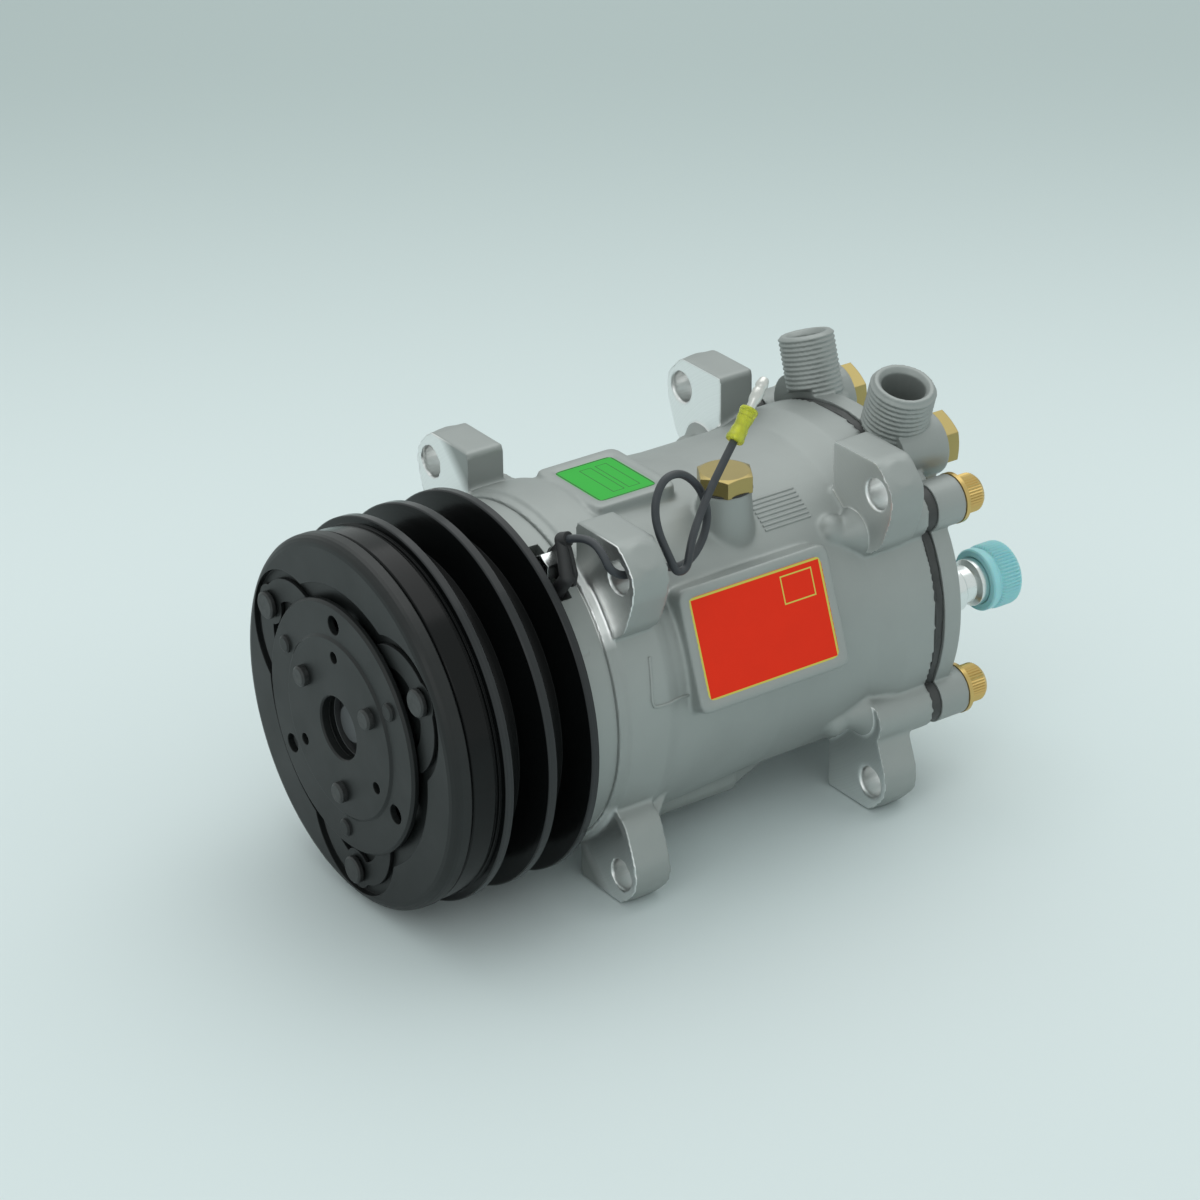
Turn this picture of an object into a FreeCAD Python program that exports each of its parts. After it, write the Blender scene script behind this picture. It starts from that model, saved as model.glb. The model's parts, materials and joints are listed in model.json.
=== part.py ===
import FreeCAD, Part
import math
import os
from FreeCAD import Placement, Rotation, Vector

# Automotive air-conditioning compressor: five cylinders, wobble plate, ear mounts, two-groove clutch.
# Lengths are millimetres. The origin is on the shaft axis, in the plane of the front ears' machined
# faces. +Y points to the rear head, the clutch is toward -Y, and +Z is up, toward the hose ports.

# Clearances
SEAT = 0.02
RUNNING = 0.06
BALL_PLAY = 0.12
GAP = 0.3

# Mounting ears
EAR_HOLE_SPACING = 104.0
EAR_HOLE_R = 5.2
EAR_HOLE_CHAMFER = 0.6
EAR_THICKNESS = 13.5
EAR_PITCH = 99.5
EAR_TOP_WALL = 10.8
EAR_SIDE_WALL = 8.0
EAR_WIDTH = 30.0
EAR_FACET = 8.0
EAR_CORNER_R = 7.0
EAR_LEAN = 10.0
PAD_MARK_R = 5.0
PAD_MARK_HEIGHT = 0.35

# Cylinder block casting
BLOCK_LIP = 3.5
BAND_R = 58.0
LIP_R = 57.0
WAIST_R = 56.5
BARREL_R = 54.0
BARREL_START = 64.0
REAR_RIM_R = 57.0
REAR_RIM_WIDTH = 13.5
BLOCK_REAR = 121.5
CRANKCASE_R = 49.0
CRANKCASE_END = 52.0
SUMP_HALF_WIDTH = 27.0
SUMP_DEPTH = 55.5
SUMP_START = 14.0
SUMP_END = 64.0
SUMP_TAPER = 14.0

# Cylinders and pistons
CYLINDERS = 5
CYLINDER_CIRCLE_R = 33.0
BORE_R = 17.0
FIRST_CYLINDER_ANGLE = 90.0
PISTON_LENGTH = 35.0
PISTON_PIN_DEPTH = 8.0
PISTON_WALL = 2.6
PISTON_CROWN = 6.0
TOP_CLEARANCE = 1.5
RING_WIDTH = 1.6
RING_WALL = 1.0
RING_DROPS = [9.0, 4.5]
ROD_R = 3.2
ROD_BALL_R = 5.2

# Wobble plate and cam rotor
PLATE_TILT = 22.0
PLATE_CENTRE = 27.0
PLATE_MARGIN = 8.5
PLATE_RISE = 1.2
PLATE_DROP = 8.2
SOCKET_R = 7.6
SOCKET_RISE = 2.2
SOCKET_FLOOR = 1.5
SOCKET_COVER_ANGLE = 68.0
ROTOR_R = 36.0
THRUST_THICKNESS = 2.2
PLATE_BEARING_INNER_R = 20.0
PLATE_BEARING_OUTER_R = 31.0
GUIDE_BALL_R = 6.0
GEAR_TEETH = 24
GEAR_R = 18.0
GEAR_INNER_R = 10.0
GEAR_DEPTH = 2.0
GEAR_TOOTH_SHARE = 0.34
GEAR_NECK_R = 9.0
GEAR_FLANGE = 6.0
GEAR_NECK_LENGTH = 36.0

# Front housing
FRONT_HOUSING_R = 56.0
FRONT_HOUSING_WIDTH = 10.0
FRONT_RECESS_R = 45.0
FRONT_RECESS_DEPTH = 4.5
NOSE_R = 17.5
NOSE_STEP_R = 19.2
NOSE_LENGTH = 42.5
SEAL_CAVITY_R = 12.6
SEAL_CAVITY_DEPTH = 20.0
SEAL_SEAT_DEPTH = 5.0
SEAL_SEAT_WIDTH = 4.0
SEAL_SEAT_PLAY = 1.2
SEAL_WALL = 3.2
SEAL_LENGTH = 7.8
HOUSING_BOLTS = 6
HOUSING_BOLT_R = 2.2
HOUSING_BOLT_HEAD_R = 3.4
HOUSING_BOLT_HEAD = 4.6
HOUSING_BOLT_LENGTH = 12.0
HOUSING_BOLT_ANGLE = 30.0

# Drive shaft
SHAFT_R = 8.0
SHAFT_FRONT = -65.0
SHAFT_BEARING_R = 14.0
SHAFT_BEARING_WIDTH = 18.0
NUT_ACROSS_FLATS = 16.0
NUT_HEIGHT = 6.0
KEY_SIZE = 3.0

# Pulley and its bearing
PULLEY_R = 62.5
GROOVE_PITCH = 15.8
GROOVE_COUNT = 2
RIM_TIP = 3.0
GROOVE_DEPTH = 11.0
GROOVE_HALF_ANGLE = 18.0
PULLEY_HOUSING_GAP = 1.0
DRUM_R = 60.2
DRUM_LENGTH = 10.2
DRUM_LINE = 0.8
CAVITY_R = 47.6
PULLEY_HUB_R = 32.4
FRICTION_WALL = 6.0
BEARING_OUTER_R = 27.5
BEARING_WIDTH = 23.0
BEARING_RACE = 2.6
BEARING_LIP = 2.5
BEARING_BALL_R = 3.1
BEARING_BALLS = 14
SNAP_WIDTH = 1.5
SNAP_DEPTH = 1.0
SNAP_GAP = 6.0
SNAP_PLAY = 0.1
ROTOR_SLOTS = 6
ROTOR_SLOT_WIDTH = 1.6
ROTOR_SLOT_STARTS = [37.0, 44.0]
ROTOR_SLOT_SHARE = 0.72

# Clutch front
AIR_GAP = 0.45
ARMATURE_R = 60.8
ARMATURE_THICKNESS = 6.7
ARMATURE_EDGE = 3.2
ARMATURE_FLOOR = 4.6
ARMATURE_BORE_R = 33.0
SPRING_THICKNESS = 1.3
SPRING_DISC_R = 31.0
ARM_RIVET_CIRCLE_R = 50.5
ARM_RIVET_HEAD_R = 4.5
ARM_RIVET_R = 2.4
RIVET_HEAD_HEIGHT = 1.8
LOBE_CENTRE_R = 34.5
LOBE_R = 20.5
LOBE_SLOT_R = 13.8
LOBE_PAD_R = 6.6
WINDOW_MARGIN = 3.2
WINDOW_R = 46.0
CLUTCH_RIVET_ANGLE = 32.0
CLUTCH_ARMS = 3
COVER_R = 41.5
COVER_THICKNESS = 2.2
COVER_STEP_R = 29.5
COVER_STEP = 0.7
COVER_BORE_R = 10.3
COVER_RIVET_CIRCLE_R = 22.0
COVER_RIVET_HEAD_R = 3.4
COVER_RIVET_HEAD = 2.4
COVER_BUMP_CIRCLE_R = 34.8
COVER_BUMP_R = 2.9
COVER_BUMP_HEIGHT = 1.1
COVER_HOLE_CIRCLE_R = 35.0
COVER_HOLE_R = 3.2
COVER_PIN_CIRCLE_R = 24.2
COVER_PIN_R = 2.0
HUB_FLANGE_R = 28.0
HUB_FLANGE = 2.6
HUB_TUBE_R = 11.4
COVER_SPACER = 0.8

# Field coil
COIL_INNER_R = 33.4
COIL_OUTER_R = 46.6
COIL_LENGTH = 32.0
COIL_WALL = 2.4
COIL_FRONT_GAP = 1.0
COIL_PLATE = 2.4

# Rear head and valve plate
REED_SHEET = 0.4
SUCTION_REED_R = 10.0
REED_CUT = 1.0
SUCTION_HOLE_R = 3.2
SUCTION_HOLE_OUT = 6.0
DISCHARGE_HOLE_R = 2.2
DISCHARGE_HOLE_IN = 4.5
REED_HALF_WIDTH = 3.0
REED_STOP = 1.0
REED_HUB_R = 7.0
REED_RIVET_R = 2.0
REED_RIVET_HEAD = 3.0
VALVE_PLATE = 3.1
VALVE_PLATE_R = 53.0
HEAD_GASKET = 0.5
HEAD_R = 57.0
HEAD_FLANGE = 7.5
HEAD_DOME_R = 44.0
HEAD_DOME = 3.0
CHAMBER_DEPTH = 5.5
CHAMBER_INNER_R = 26.0
CHAMBER_WALL = 3.5
CHAMBER_OUTER_R = 47.0
HEAD_BOLT_CIRCLE_R = 57.5
HEAD_BOLT_ANGLES = [40.0, 140.0, 212.0, 328.0]
LOW_BOLT_R = 53.8
HEAD_BOSS_R = 8.3
HEAD_BOSS = 4.0
BOLT_R = 4.0
BOLT_HEAD_R = 6.5
BOLT_HEAD = 8.0
BOLT_SOCKET_ACROSS_FLATS = 6.0
BOLT_LENGTH = 30.0
WASHER_R = 8.5
WASHER = 1.5
BLOCK_BOSS = 22.0
BLOCK_BOSS_TAIL = 8.0

# Hose ports
PORT_TOP_X = 26.0
PORT_TOP_Z = 72.5
PORT_TILT = 17.0
PORT_AXIS_BEHIND = 6.0
PORT_THREAD_LENGTH = 21.0
SUCTION_R = 11.1
DISCHARGE_R = 9.5
SUCTION_PITCH = 1.814
DISCHARGE_PITCH = 1.588
PORT_WALL = 3.8
PORT_BORE_DEPTH = 16.0
PORT_PASSAGE_R = 4.2
PORT_LENGTH = 42.0
PORT_NECK_EXTRA = 0.9
PORT_BLOCK_X = 24.0
PORT_BLOCK_Z = 48.0
PORT_BLOCK_R = 11.0
PORT_BLOCK_LENGTH = 18.4
PORT_PLUG_ACROSS_FLATS = 17.0
PORT_PLUG_HEAD = 6.0
PORT_PLUG_R = 6.0
PORT_PLUG_DEPTH = 7.0

# Service valve
SERVICE_X = 35.0
SERVICE_Z = -2.0
SERVICE_PAD = 3.5
SERVICE_BASE_R = 8.0
SERVICE_BASE = 11.0
SERVICE_NECK_R = 6.2
SERVICE_NECK = 4.5
SERVICE_SHOULDER_R = 8.0
SERVICE_SHOULDER = 9.0
SERVICE_SEAT_R = 4.0
SERVICE_SEAT = 4.0
SERVICE_BORE_R = 3.0
SERVICE_BORE = 5.0
CAP_R = 10.6
CAP_LENGTH = 13.0
CAP_RIBS = 36
CAP_RIB = 0.4
CAP_OVERLAP = 5.0

# Oil filler
FILLER_X = 28.0
FILLER_Y = 58.0
FILLER_TOP = 57.0
FILLER_TOP_R = 8.4
FILLER_BASE_R = 9.8
FILLER_ROOT = 38.0
FILLER_ACROSS_FLATS = 16.5
FILLER_HEAD = 6.0
FILLER_PLUG_R = 5.0
FILLER_PLUG_DEPTH = 9.0

# Label pads on the casting
SIDE_PAD_ANGLE = 20.0
SIDE_PAD_DISTANCE = 60.0
SIDE_PAD_HALF_WIDTH = 20.0
SIDE_PAD_START = 24.0
SIDE_PAD_LENGTH = 58.0
SIDE_PAD_FRAME = 2.6
PAD_RECESS = 0.8
PAD_CORNER_R = 3.0
TOP_PAD_Z = 57.3
TOP_PAD_HALF_WIDTH = 17.5
TOP_PAD_START = 16.5
TOP_PAD_LENGTH = 31.0
TOP_PAD_FRAME = 3.6
LABEL_THICKNESS = 0.2
LABEL_MARGIN = 0.6

# Lead clamp on the front housing
CLAMP_X = 29.4
CLAMP_Z = 50.1
CLAMP_BOSS_R = 5.5
CLAMP_STRAP = 1.2
CLAMP_STRAP_MARGIN = 4.6
CLAMP_SCREW_ACROSS_FLATS = 8.0
CLAMP_SCREW_HEAD = 5.0
CLAMP_SCREW_R = 2.5
CLAMP_SCREW_DEPTH = 2.7
CLAMP_FACE_DEPTH = 6.5
CLAMP_SHELF_R = 49.5
CLAMP_SHELF_ANGLE = 59.0
CLAMP_SHELF_SPREAD = 22.0
BOOT_R = 2.4
BOOT_ANGLE = 52.0
BOOT_BEND_R = 63.0
BOOT_FOOT_R = 44.0
BOOT_SETBACK = 2.5
BOOT_RISE = 1.5
BOOT_TIP = 2.5
BOOT_PLAY = 0.4

# Coil lead, hand-placed route through the ear hole, round one loop and up to the plug
LEAD_R = 1.3
LEAD_ROUTE = [
    (36.0, -7.0, 61.0),
    (40.6, -5.4, 62.8),
    (46.0, -4.6, 63.0),
    (50.4, -4.2, 60.6),
    (52.8, -3.6, 56.2),
    (52.9, 0.6, 53.0),
    (52.3, 6.5, 52.1),
    (51.6, 13.0, 51.6),
    (50.4, 19.0, 49.6),
    (48.6, 24.6, 47.2),
    (47.0, 30.0, 46.8),
    (46.0, 34.6, 49.6),
    (45.0, 38.0, 54.2),
    (44.2, 39.4, 60.0),
    (44.0, 37.8, 66.2),
    (44.0, 34.4, 71.8),
    (44.6, 28.6, 76.6),
    (46.0, 21.8, 77.2),
    (47.4, 17.6, 72.8),
    (48.6, 16.2, 67.2),
    (50.2, 16.6, 61.4),
    (52.4, 17.6, 56.6),
    (54.0, 18.6, 52.6),
    (54.4, 20.2, 48.8),
    (54.0, 24.2, 48.9),
    (53.4, 25.6, 53.2),
    (52.2, 27.6, 57.6),
    (50.2, 31.2, 61.8),
    (47.6, 36.6, 67.4),
    (45.2, 43.4, 74.0),
    (43.0, 50.2, 80.5),
]
SLEEVE_R = 3.0
SLEEVE_LENGTH = 11.5
TERMINAL_R = 2.0
TERMINAL_LENGTH = 11.0

# Places worked out from the sizes above
EAR_X = EAR_HOLE_SPACING / 2
EAR_TOP = EAR_X + EAR_TOP_WALL
EAR_SIDE = EAR_X + EAR_SIDE_WALL
REAR_EAR_Y = EAR_PITCH
BLOCK_FRONT = -BLOCK_LIP
HOUSING_FRONT = BLOCK_FRONT - FRONT_HOUSING_WIDTH
PULLEY_REAR = HOUSING_FRONT - PULLEY_HOUSING_GAP
RIM_CENTRES = [PULLEY_REAR - RIM_TIP / 2 - GROOVE_PITCH * i for i in range(GROOVE_COUNT + 1)]
DRUM_REAR = RIM_CENTRES[-1] - RIM_TIP / 2
FRICTION_Y = DRUM_REAR - DRUM_LENGTH
NOSE_FRONT = HOUSING_FRONT - NOSE_LENGTH
BEARING_FRONT = NOSE_FRONT + SNAP_WIDTH + BEARING_LIP
BEARING_REAR = BEARING_FRONT + BEARING_WIDTH
COIL_REAR = HOUSING_FRONT - 2.0
COIL_FRONT = COIL_REAR - COIL_PLATE - COIL_LENGTH
ARMATURE_REAR = FRICTION_Y - AIR_GAP
ARMATURE_FRONT = ARMATURE_REAR - ARMATURE_THICKNESS
SPRING_REAR = ARMATURE_REAR - ARMATURE_FLOOR - 0.2
SPRING_FRONT = SPRING_REAR - SPRING_THICKNESS
RIVET_HEAD_REAR = SPRING_FRONT - AIR_GAP - 0.15
COVER_REAR = SPRING_FRONT - COVER_SPACER
COVER_FRONT = COVER_REAR - COVER_THICKNESS
TILT = math.radians(PLATE_TILT)
SOCKET_CIRCLE_R = 2 * CYLINDER_CIRCLE_R / (1 + math.cos(TILT))
PISTON_THROW = SOCKET_CIRCLE_R * math.sin(TILT)
PIN_TO_CROWN = PISTON_LENGTH - PISTON_PIN_DEPTH
ROD_LENGTH = BLOCK_REAR - TOP_CLEARANCE - PIN_TO_CROWN - PISTON_THROW - PLATE_CENTRE
PLATE_POINT = Vector(0, PLATE_CENTRE, 0)
PLATE_NORMAL = Vector(0, math.cos(TILT), math.sin(TILT))
ROTOR_FACE = PLATE_DROP + THRUST_THICKNESS + 2 * GAP
THRUST_REAR = BLOCK_FRONT - FRONT_RECESS_DEPTH + THRUST_THICKNESS
HEAD_FRONT = BLOCK_REAR + REED_SHEET + VALVE_PLATE + HEAD_GASKET
HEAD_BACK = HEAD_FRONT + HEAD_FLANGE
HEAD_BOSS_BACK = HEAD_BACK + HEAD_BOSS
PORT_Y = HEAD_FRONT + PORT_AXIS_BEHIND
SIDE_NORMAL = Vector(math.cos(math.radians(SIDE_PAD_ANGLE)), 0, math.sin(math.radians(SIDE_PAD_ANGLE)))
SIDE_ACROSS = Vector(-SIDE_NORMAL.z, 0, SIDE_NORMAL.x)
ALONG = Vector(0, 1, 0)
UP = Vector(0, 0, 1)
RIGHT = Vector(1, 0, 0)


def cylinder(radius, start, end, x=0.0, z=0.0):
    """Round bar along Y from one Y to another."""
    return Part.makeCylinder(radius, end - start, Vector(x, start, z), ALONG)


def tube(inner, outer, start, end, x=0.0, z=0.0):
    """Round tube along Y."""
    return cylinder(outer, start, end, x, z).cut(cylinder(inner, start - 1, end + 1, x, z))


def box(x0, x1, y0, y1, z0, z1):
    """Box between two corners."""
    return Part.makeBox(x1 - x0, y1 - y0, z1 - z0, Vector(x0, y0, z0))


def turned(points):
    """Solid of revolution about the shaft axis, from (radius, y) points."""
    corners = [Vector(r, y, 0) for r, y in points]
    face = Part.Face(Part.makePolygon(corners + corners[:1]))
    return face.revolve(Vector(0, 0, 0), ALONG, 360)


def turned_about(points, base, axis):
    """Solid of revolution from (radius, height) points, about an axis through a base point."""
    return placed(turned(points), base, axis)


def placed(shape, base, axis):
    """Moves a shape built about the Y axis onto another axis."""
    moved = shape.copy()
    turn = Rotation(ALONG, axis)
    moved.Placement = Placement(base, turn).multiply(moved.Placement)
    return moved


def rounded_face(corners, origin, u, v):
    """Flat face with corners (a, b, corner radius) along the directions u and v."""
    points = [origin + u * a + v * b for a, b, radius in corners]
    count = len(points)
    edges = []
    starts = []
    ends = []
    arcs = []
    for i in range(count):
        back = (points[i - 1] - points[i]).normalize()
        ahead = (points[(i + 1) % count] - points[i]).normalize()
        radius = corners[i][2]
        half = back.getAngle(ahead) / 2
        reach = radius / math.tan(half)
        starts.append(points[i] + back * reach)
        ends.append(points[i] + ahead * reach)
        middle = (back + ahead).normalize() * (radius / math.sin(half) - radius)
        arcs.append(points[i] + middle)
    for i in range(count):
        if corners[i][2] > 0:
            edges.append(Part.Arc(starts[i], arcs[i], ends[i]).toShape())
        edges.append(Part.LineSegment(ends[i], starts[(i + 1) % count]).toShape())
    return Part.Face(Part.Wire(edges))


def prism(corners, start, end):
    """Prism along Y whose outline has corners (x, z, corner radius)."""
    return rounded_face(corners, Vector(0, start, 0), RIGHT, UP).extrude(Vector(0, end - start, 0))


def rectangle(a, b, radius):
    """Corners of a centred rectangle with rounded corners, half sizes a and b."""
    return [(-a, -b, radius), (a, -b, radius), (a, b, radius), (-a, b, radius)]


def hexagon_bar(across_flats, base, axis, length, bevel=0.0):
    """Hexagonal bar, with its far end's corners turned off to a cone."""
    corner_r = across_flats / math.sqrt(3)
    points = []
    for k in range(6):
        angle = math.radians(60 * k + 30)
        points.append((corner_r * math.cos(angle), corner_r * math.sin(angle), 0))
    bar = prism(points, 0, length)
    if bevel > 0:
        flat_r = across_flats / 2 - bevel / 2
        cone = turned([(0, 0), (corner_r + 1, 0), (corner_r + 1, length - bevel),
                       (flat_r + bevel * 1.6, length - bevel * 0.6), (flat_r, length), (0, length)])
        bar = bar.common(cone)
    return placed(bar, base, axis)


def at_angle(radius, degrees):
    """X and Z of a place on a circle about the shaft, counted from +X toward +Z."""
    angle = math.radians(degrees)
    return radius * math.cos(angle), radius * math.sin(angle)


def spokes(count, first):
    """Evenly spaced angles about the shaft."""
    return [first + 360.0 / count * k for k in range(count)]


def joined(shapes):
    """One solid from overlapping shapes."""
    whole = shapes[0].fuse(shapes[1:])
    return whole.removeSplitter()


def mirrored(shape, sign_x, sign_z):
    """Copy of a shape in another quadrant."""
    copy = shape
    if sign_x < 0:
        copy = copy.mirror(Vector(0, 0, 0), RIGHT)
    if sign_z < 0:
        copy = copy.mirror(Vector(0, 0, 0), UP)
    return copy


def write(name, shape):
    """Writes one named piece."""
    shape.exportStep("parts/" + name + ".step")
    print(name, "solids", len(shape.Solids), "valid", shape.isValid(), "volume", round(shape.Volume, 1))


def quadrants():
    """The four corners where an ear stands."""
    return [(1, 1), (-1, 1), (-1, -1), (1, -1)]


def ear(start):
    """One upper-right mounting ear with its ejector mark, before its hole is drilled."""
    low_x, low_z = at_angle(BAND_R - 3, 31.0)
    outline = [
        (EAR_WIDTH, CRANKCASE_R * 0.62, 0),
        (EAR_WIDTH, EAR_TOP, 1.5),
        (EAR_SIDE - EAR_FACET, EAR_TOP, EAR_CORNER_R),
        (EAR_SIDE, EAR_TOP - EAR_FACET, EAR_CORNER_R),
        (EAR_SIDE, EAR_X - 5.0, 12.0),
        (EAR_SIDE - 5.0, 34.0, 10.0),
        (low_x, low_z, 0),
    ]
    body = prism(outline, start, start + EAR_THICKNESS)
    outward = Vector(1, 0, 1).normalize()
    facet = Vector(EAR_SIDE - EAR_FACET / 2, start + EAR_THICKNESS / 2, EAR_TOP - EAR_FACET / 2)
    mark = Part.makeCylinder(PAD_MARK_R, 2.0 + PAD_MARK_HEIGHT, facet - outward * 2.0, outward)
    return body.fuse(mark)


def ear_hole(start):
    """Drill for one ear, chamfered at the face that looks at the other ear."""
    bore = cylinder(EAR_HOLE_R, start - 1, start + EAR_THICKNESS + 1, EAR_X, EAR_X)
    mouth_r = EAR_HOLE_R + EAR_HOLE_CHAMFER
    if start > 0:
        base = Vector(EAR_X, start, EAR_X)
        inward = ALONG
    else:
        base = Vector(EAR_X, start + EAR_THICKNESS, EAR_X)
        inward = ALONG * -1
    mouth = Part.makeCone(mouth_r, EAR_HOLE_R, EAR_HOLE_CHAMFER, base, inward)
    return joined([bore, mouth])


def ear_gusset(start, reach):
    """Rib that runs from an ear's back down into the barrel."""
    outward = Vector(1, 0, 1).normalize()
    across = Vector(1, 0, -1).normalize()
    corners = [(44.0, start, 0), (EAR_X * math.sqrt(2) - 9.0, start, 0), (BARREL_R - 1.0, start + reach, 0),
               (44.0, start + reach, 0)]
    face = rounded_face(corners, across * -EAR_LEAN, outward, ALONG)
    return face.extrude(across * (2 * EAR_LEAN))


def bolt_places():
    """X and Z of the five head bolts."""
    places = [at_angle(HEAD_BOLT_CIRCLE_R, angle) for angle in HEAD_BOLT_ANGLES]
    places.append((0.0, -LOW_BOLT_R))
    return places


def cylinder_block():
    """Block casting with its ears, pads, bosses, crankcase and five bores."""
    barrel = turned([
        (0, BLOCK_FRONT), (LIP_R, BLOCK_FRONT), (LIP_R, 0), (BAND_R, 0.6), (BAND_R, EAR_THICKNESS + 1),
        (WAIST_R, EAR_THICKNESS + 6), (WAIST_R - 0.6, BARREL_START / 2), (BARREL_R, BARREL_START),
        (BARREL_R, BLOCK_REAR - REAR_RIM_WIDTH - 8), (REAR_RIM_R, BLOCK_REAR - REAR_RIM_WIDTH + 2),
        (REAR_RIM_R, BLOCK_REAR), (0, BLOCK_REAR),
    ])
    pieces = [barrel, sump(), side_pad(), top_pad(), filler_boss()]
    for sign_x, sign_z in quadrants():
        for start in (0.0, REAR_EAR_Y):
            pieces.append(mirrored(ear(start), sign_x, sign_z))
        pieces.append(mirrored(ear_gusset(EAR_THICKNESS - 0.5, 12.0), sign_x, sign_z))
    for x, z in bolt_places():
        pieces.append(cylinder(HEAD_BOSS_R, BLOCK_REAR - BLOCK_BOSS, BLOCK_REAR, x, z))
        tail = Vector(x * 0.93, BLOCK_REAR - BLOCK_BOSS - BLOCK_BOSS_TAIL, z * 0.93)
        pieces.append(Part.makeCone(2.0, HEAD_BOSS_R, BLOCK_BOSS_TAIL, tail, ALONG))
    block = joined(pieces)
    cuts = [cylinder(CRANKCASE_R, BLOCK_FRONT - 1, CRANKCASE_END)]
    neck_end = PLATE_CENTRE + gear_back() + GEAR_NECK_LENGTH
    cuts.append(cylinder(GEAR_NECK_R + SEAT, CRANKCASE_END - 1, neck_end + 1))
    for angle in spokes(CYLINDERS, FIRST_CYLINDER_ANGLE):
        x, z = at_angle(CYLINDER_CIRCLE_R, angle)
        cuts.append(cylinder(BORE_R, CRANKCASE_END - 1, BLOCK_REAR + 1, x, z))
    for x, z in bolt_places():
        cuts.append(cylinder(BOLT_R + SEAT, bolt_end(), BLOCK_REAR + 1, x, z))
    for sign_x, sign_z in quadrants():
        for start in (0.0, REAR_EAR_Y):
            cuts.append(mirrored(ear_hole(start), sign_x, sign_z))
    tip = housing_bolt_seat() + HOUSING_BOLT_LENGTH
    for x, z in housing_bolt_places():
        cuts.append(cylinder(HOUSING_BOLT_R + SEAT, BLOCK_FRONT - 1, tip + 1, x, z))
    cuts.append(Part.makeCylinder(FILLER_PLUG_R + SEAT, FILLER_TOP - FILLER_ROOT + 12.0,
                                  Vector(FILLER_X, FILLER_Y, FILLER_ROOT - 10.0), UP))
    return block.cut(cuts)


def housing_bolt_places():
    """X and Z of the front housing's bolts, in the wall outside the crankcase."""
    circle = (CRANKCASE_R + FRONT_HOUSING_R) / 2
    return [at_angle(circle, angle) for angle in spokes(HOUSING_BOLTS, HOUSING_BOLT_ANGLE)]


def housing_bolt_seat():
    """Y of the faces that the front housing's bolt heads bear on."""
    return HOUSING_FRONT + HOUSING_BOLT_HEAD + 0.4


def bolt_end():
    """Y of the head bolts' tips."""
    return HEAD_BOSS_BACK + WASHER - BOLT_LENGTH


def sump():
    """Flat-bottomed bulge under the crankcase, tapering away behind."""
    half = SUMP_HALF_WIDTH
    floor = [(-half, -30.0, 0), (half, -30.0, 0), (half, -SUMP_DEPTH, 4.0), (-half, -SUMP_DEPTH, 4.0)]
    straight = prism(floor, SUMP_START, SUMP_END)
    side = [(SUMP_END - 1, -40.0, 0), (SUMP_END + SUMP_TAPER, -40.0, 0), (SUMP_END + SUMP_TAPER, -49.0, 0),
            (SUMP_END, -SUMP_DEPTH, 0), (SUMP_END - 1, -SUMP_DEPTH, 0)]
    ramp = rounded_face(side, RIGHT * -(half - 3), ALONG, UP).extrude(RIGHT * (2 * half - 6))
    return straight.fuse(ramp)


def side_pad():
    """Raised frame on the side for the large label, with its recess."""
    middle = Vector(0, SIDE_PAD_START + SIDE_PAD_LENGTH / 2, 0)
    half = SIDE_PAD_LENGTH / 2
    outer = rounded_face(rectangle(SIDE_PAD_HALF_WIDTH, half, PAD_CORNER_R), middle + SIDE_NORMAL * 42.0,
                         SIDE_ACROSS, ALONG).extrude(SIDE_NORMAL * (SIDE_PAD_DISTANCE - 42.0))
    top_edges = [edge for edge in outer.Edges if is_level(edge, SIDE_NORMAL, SIDE_PAD_DISTANCE)]
    outer = outer.makeFillet(0.9, top_edges)
    inner = rectangle(SIDE_PAD_HALF_WIDTH - SIDE_PAD_FRAME, half - SIDE_PAD_FRAME, PAD_CORNER_R)
    floor = middle + SIDE_NORMAL * (SIDE_PAD_DISTANCE - PAD_RECESS)
    recess = rounded_face(inner, floor, SIDE_ACROSS, ALONG).extrude(SIDE_NORMAL * 3.0)
    return outer.cut(recess)


def is_level(edge, normal, distance):
    """Whether an edge lies in the plane at a distance along a normal."""
    return all(abs(vertex.Point.dot(normal) - distance) < 0.01 for vertex in edge.Vertexes)


def top_pad():
    """Raised frame on top for the small label, with its recess."""
    middle = Vector(0, TOP_PAD_START + TOP_PAD_LENGTH / 2, 0)
    half = TOP_PAD_LENGTH / 2
    outer = rounded_face(rectangle(TOP_PAD_HALF_WIDTH, half, PAD_CORNER_R), middle + UP * 45.0,
                         RIGHT, ALONG).extrude(UP * (TOP_PAD_Z - 45.0))
    top_edges = [edge for edge in outer.Edges if is_level(edge, UP, TOP_PAD_Z)]
    outer = outer.makeFillet(0.9, top_edges)
    inner = rectangle(TOP_PAD_HALF_WIDTH - TOP_PAD_FRAME, half - TOP_PAD_FRAME, PAD_CORNER_R)
    floor = middle + UP * (TOP_PAD_Z - PAD_RECESS)
    recess = rounded_face(inner, floor, RIGHT, ALONG).extrude(UP * 3.0)
    return outer.cut(recess)


def filler_boss():
    """Tapered upright boss for the oil filler plug."""
    return Part.makeCone(FILLER_BASE_R, FILLER_TOP_R, FILLER_TOP - FILLER_ROOT,
                         Vector(FILLER_X, FILLER_Y, FILLER_ROOT), UP)


def side_label():
    """Large rectangular label in the side pad."""
    half_width = SIDE_PAD_HALF_WIDTH - SIDE_PAD_FRAME - LABEL_MARGIN
    half_length = SIDE_PAD_LENGTH / 2 - SIDE_PAD_FRAME - LABEL_MARGIN
    middle = Vector(0, SIDE_PAD_START + SIDE_PAD_LENGTH / 2, 0)
    centre = middle + SIDE_NORMAL * (SIDE_PAD_DISTANCE - PAD_RECESS)
    face = rounded_face(rectangle(half_width, half_length, 1.5), centre, SIDE_ACROSS, ALONG)
    return face.extrude(SIDE_NORMAL * LABEL_THICKNESS)


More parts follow.
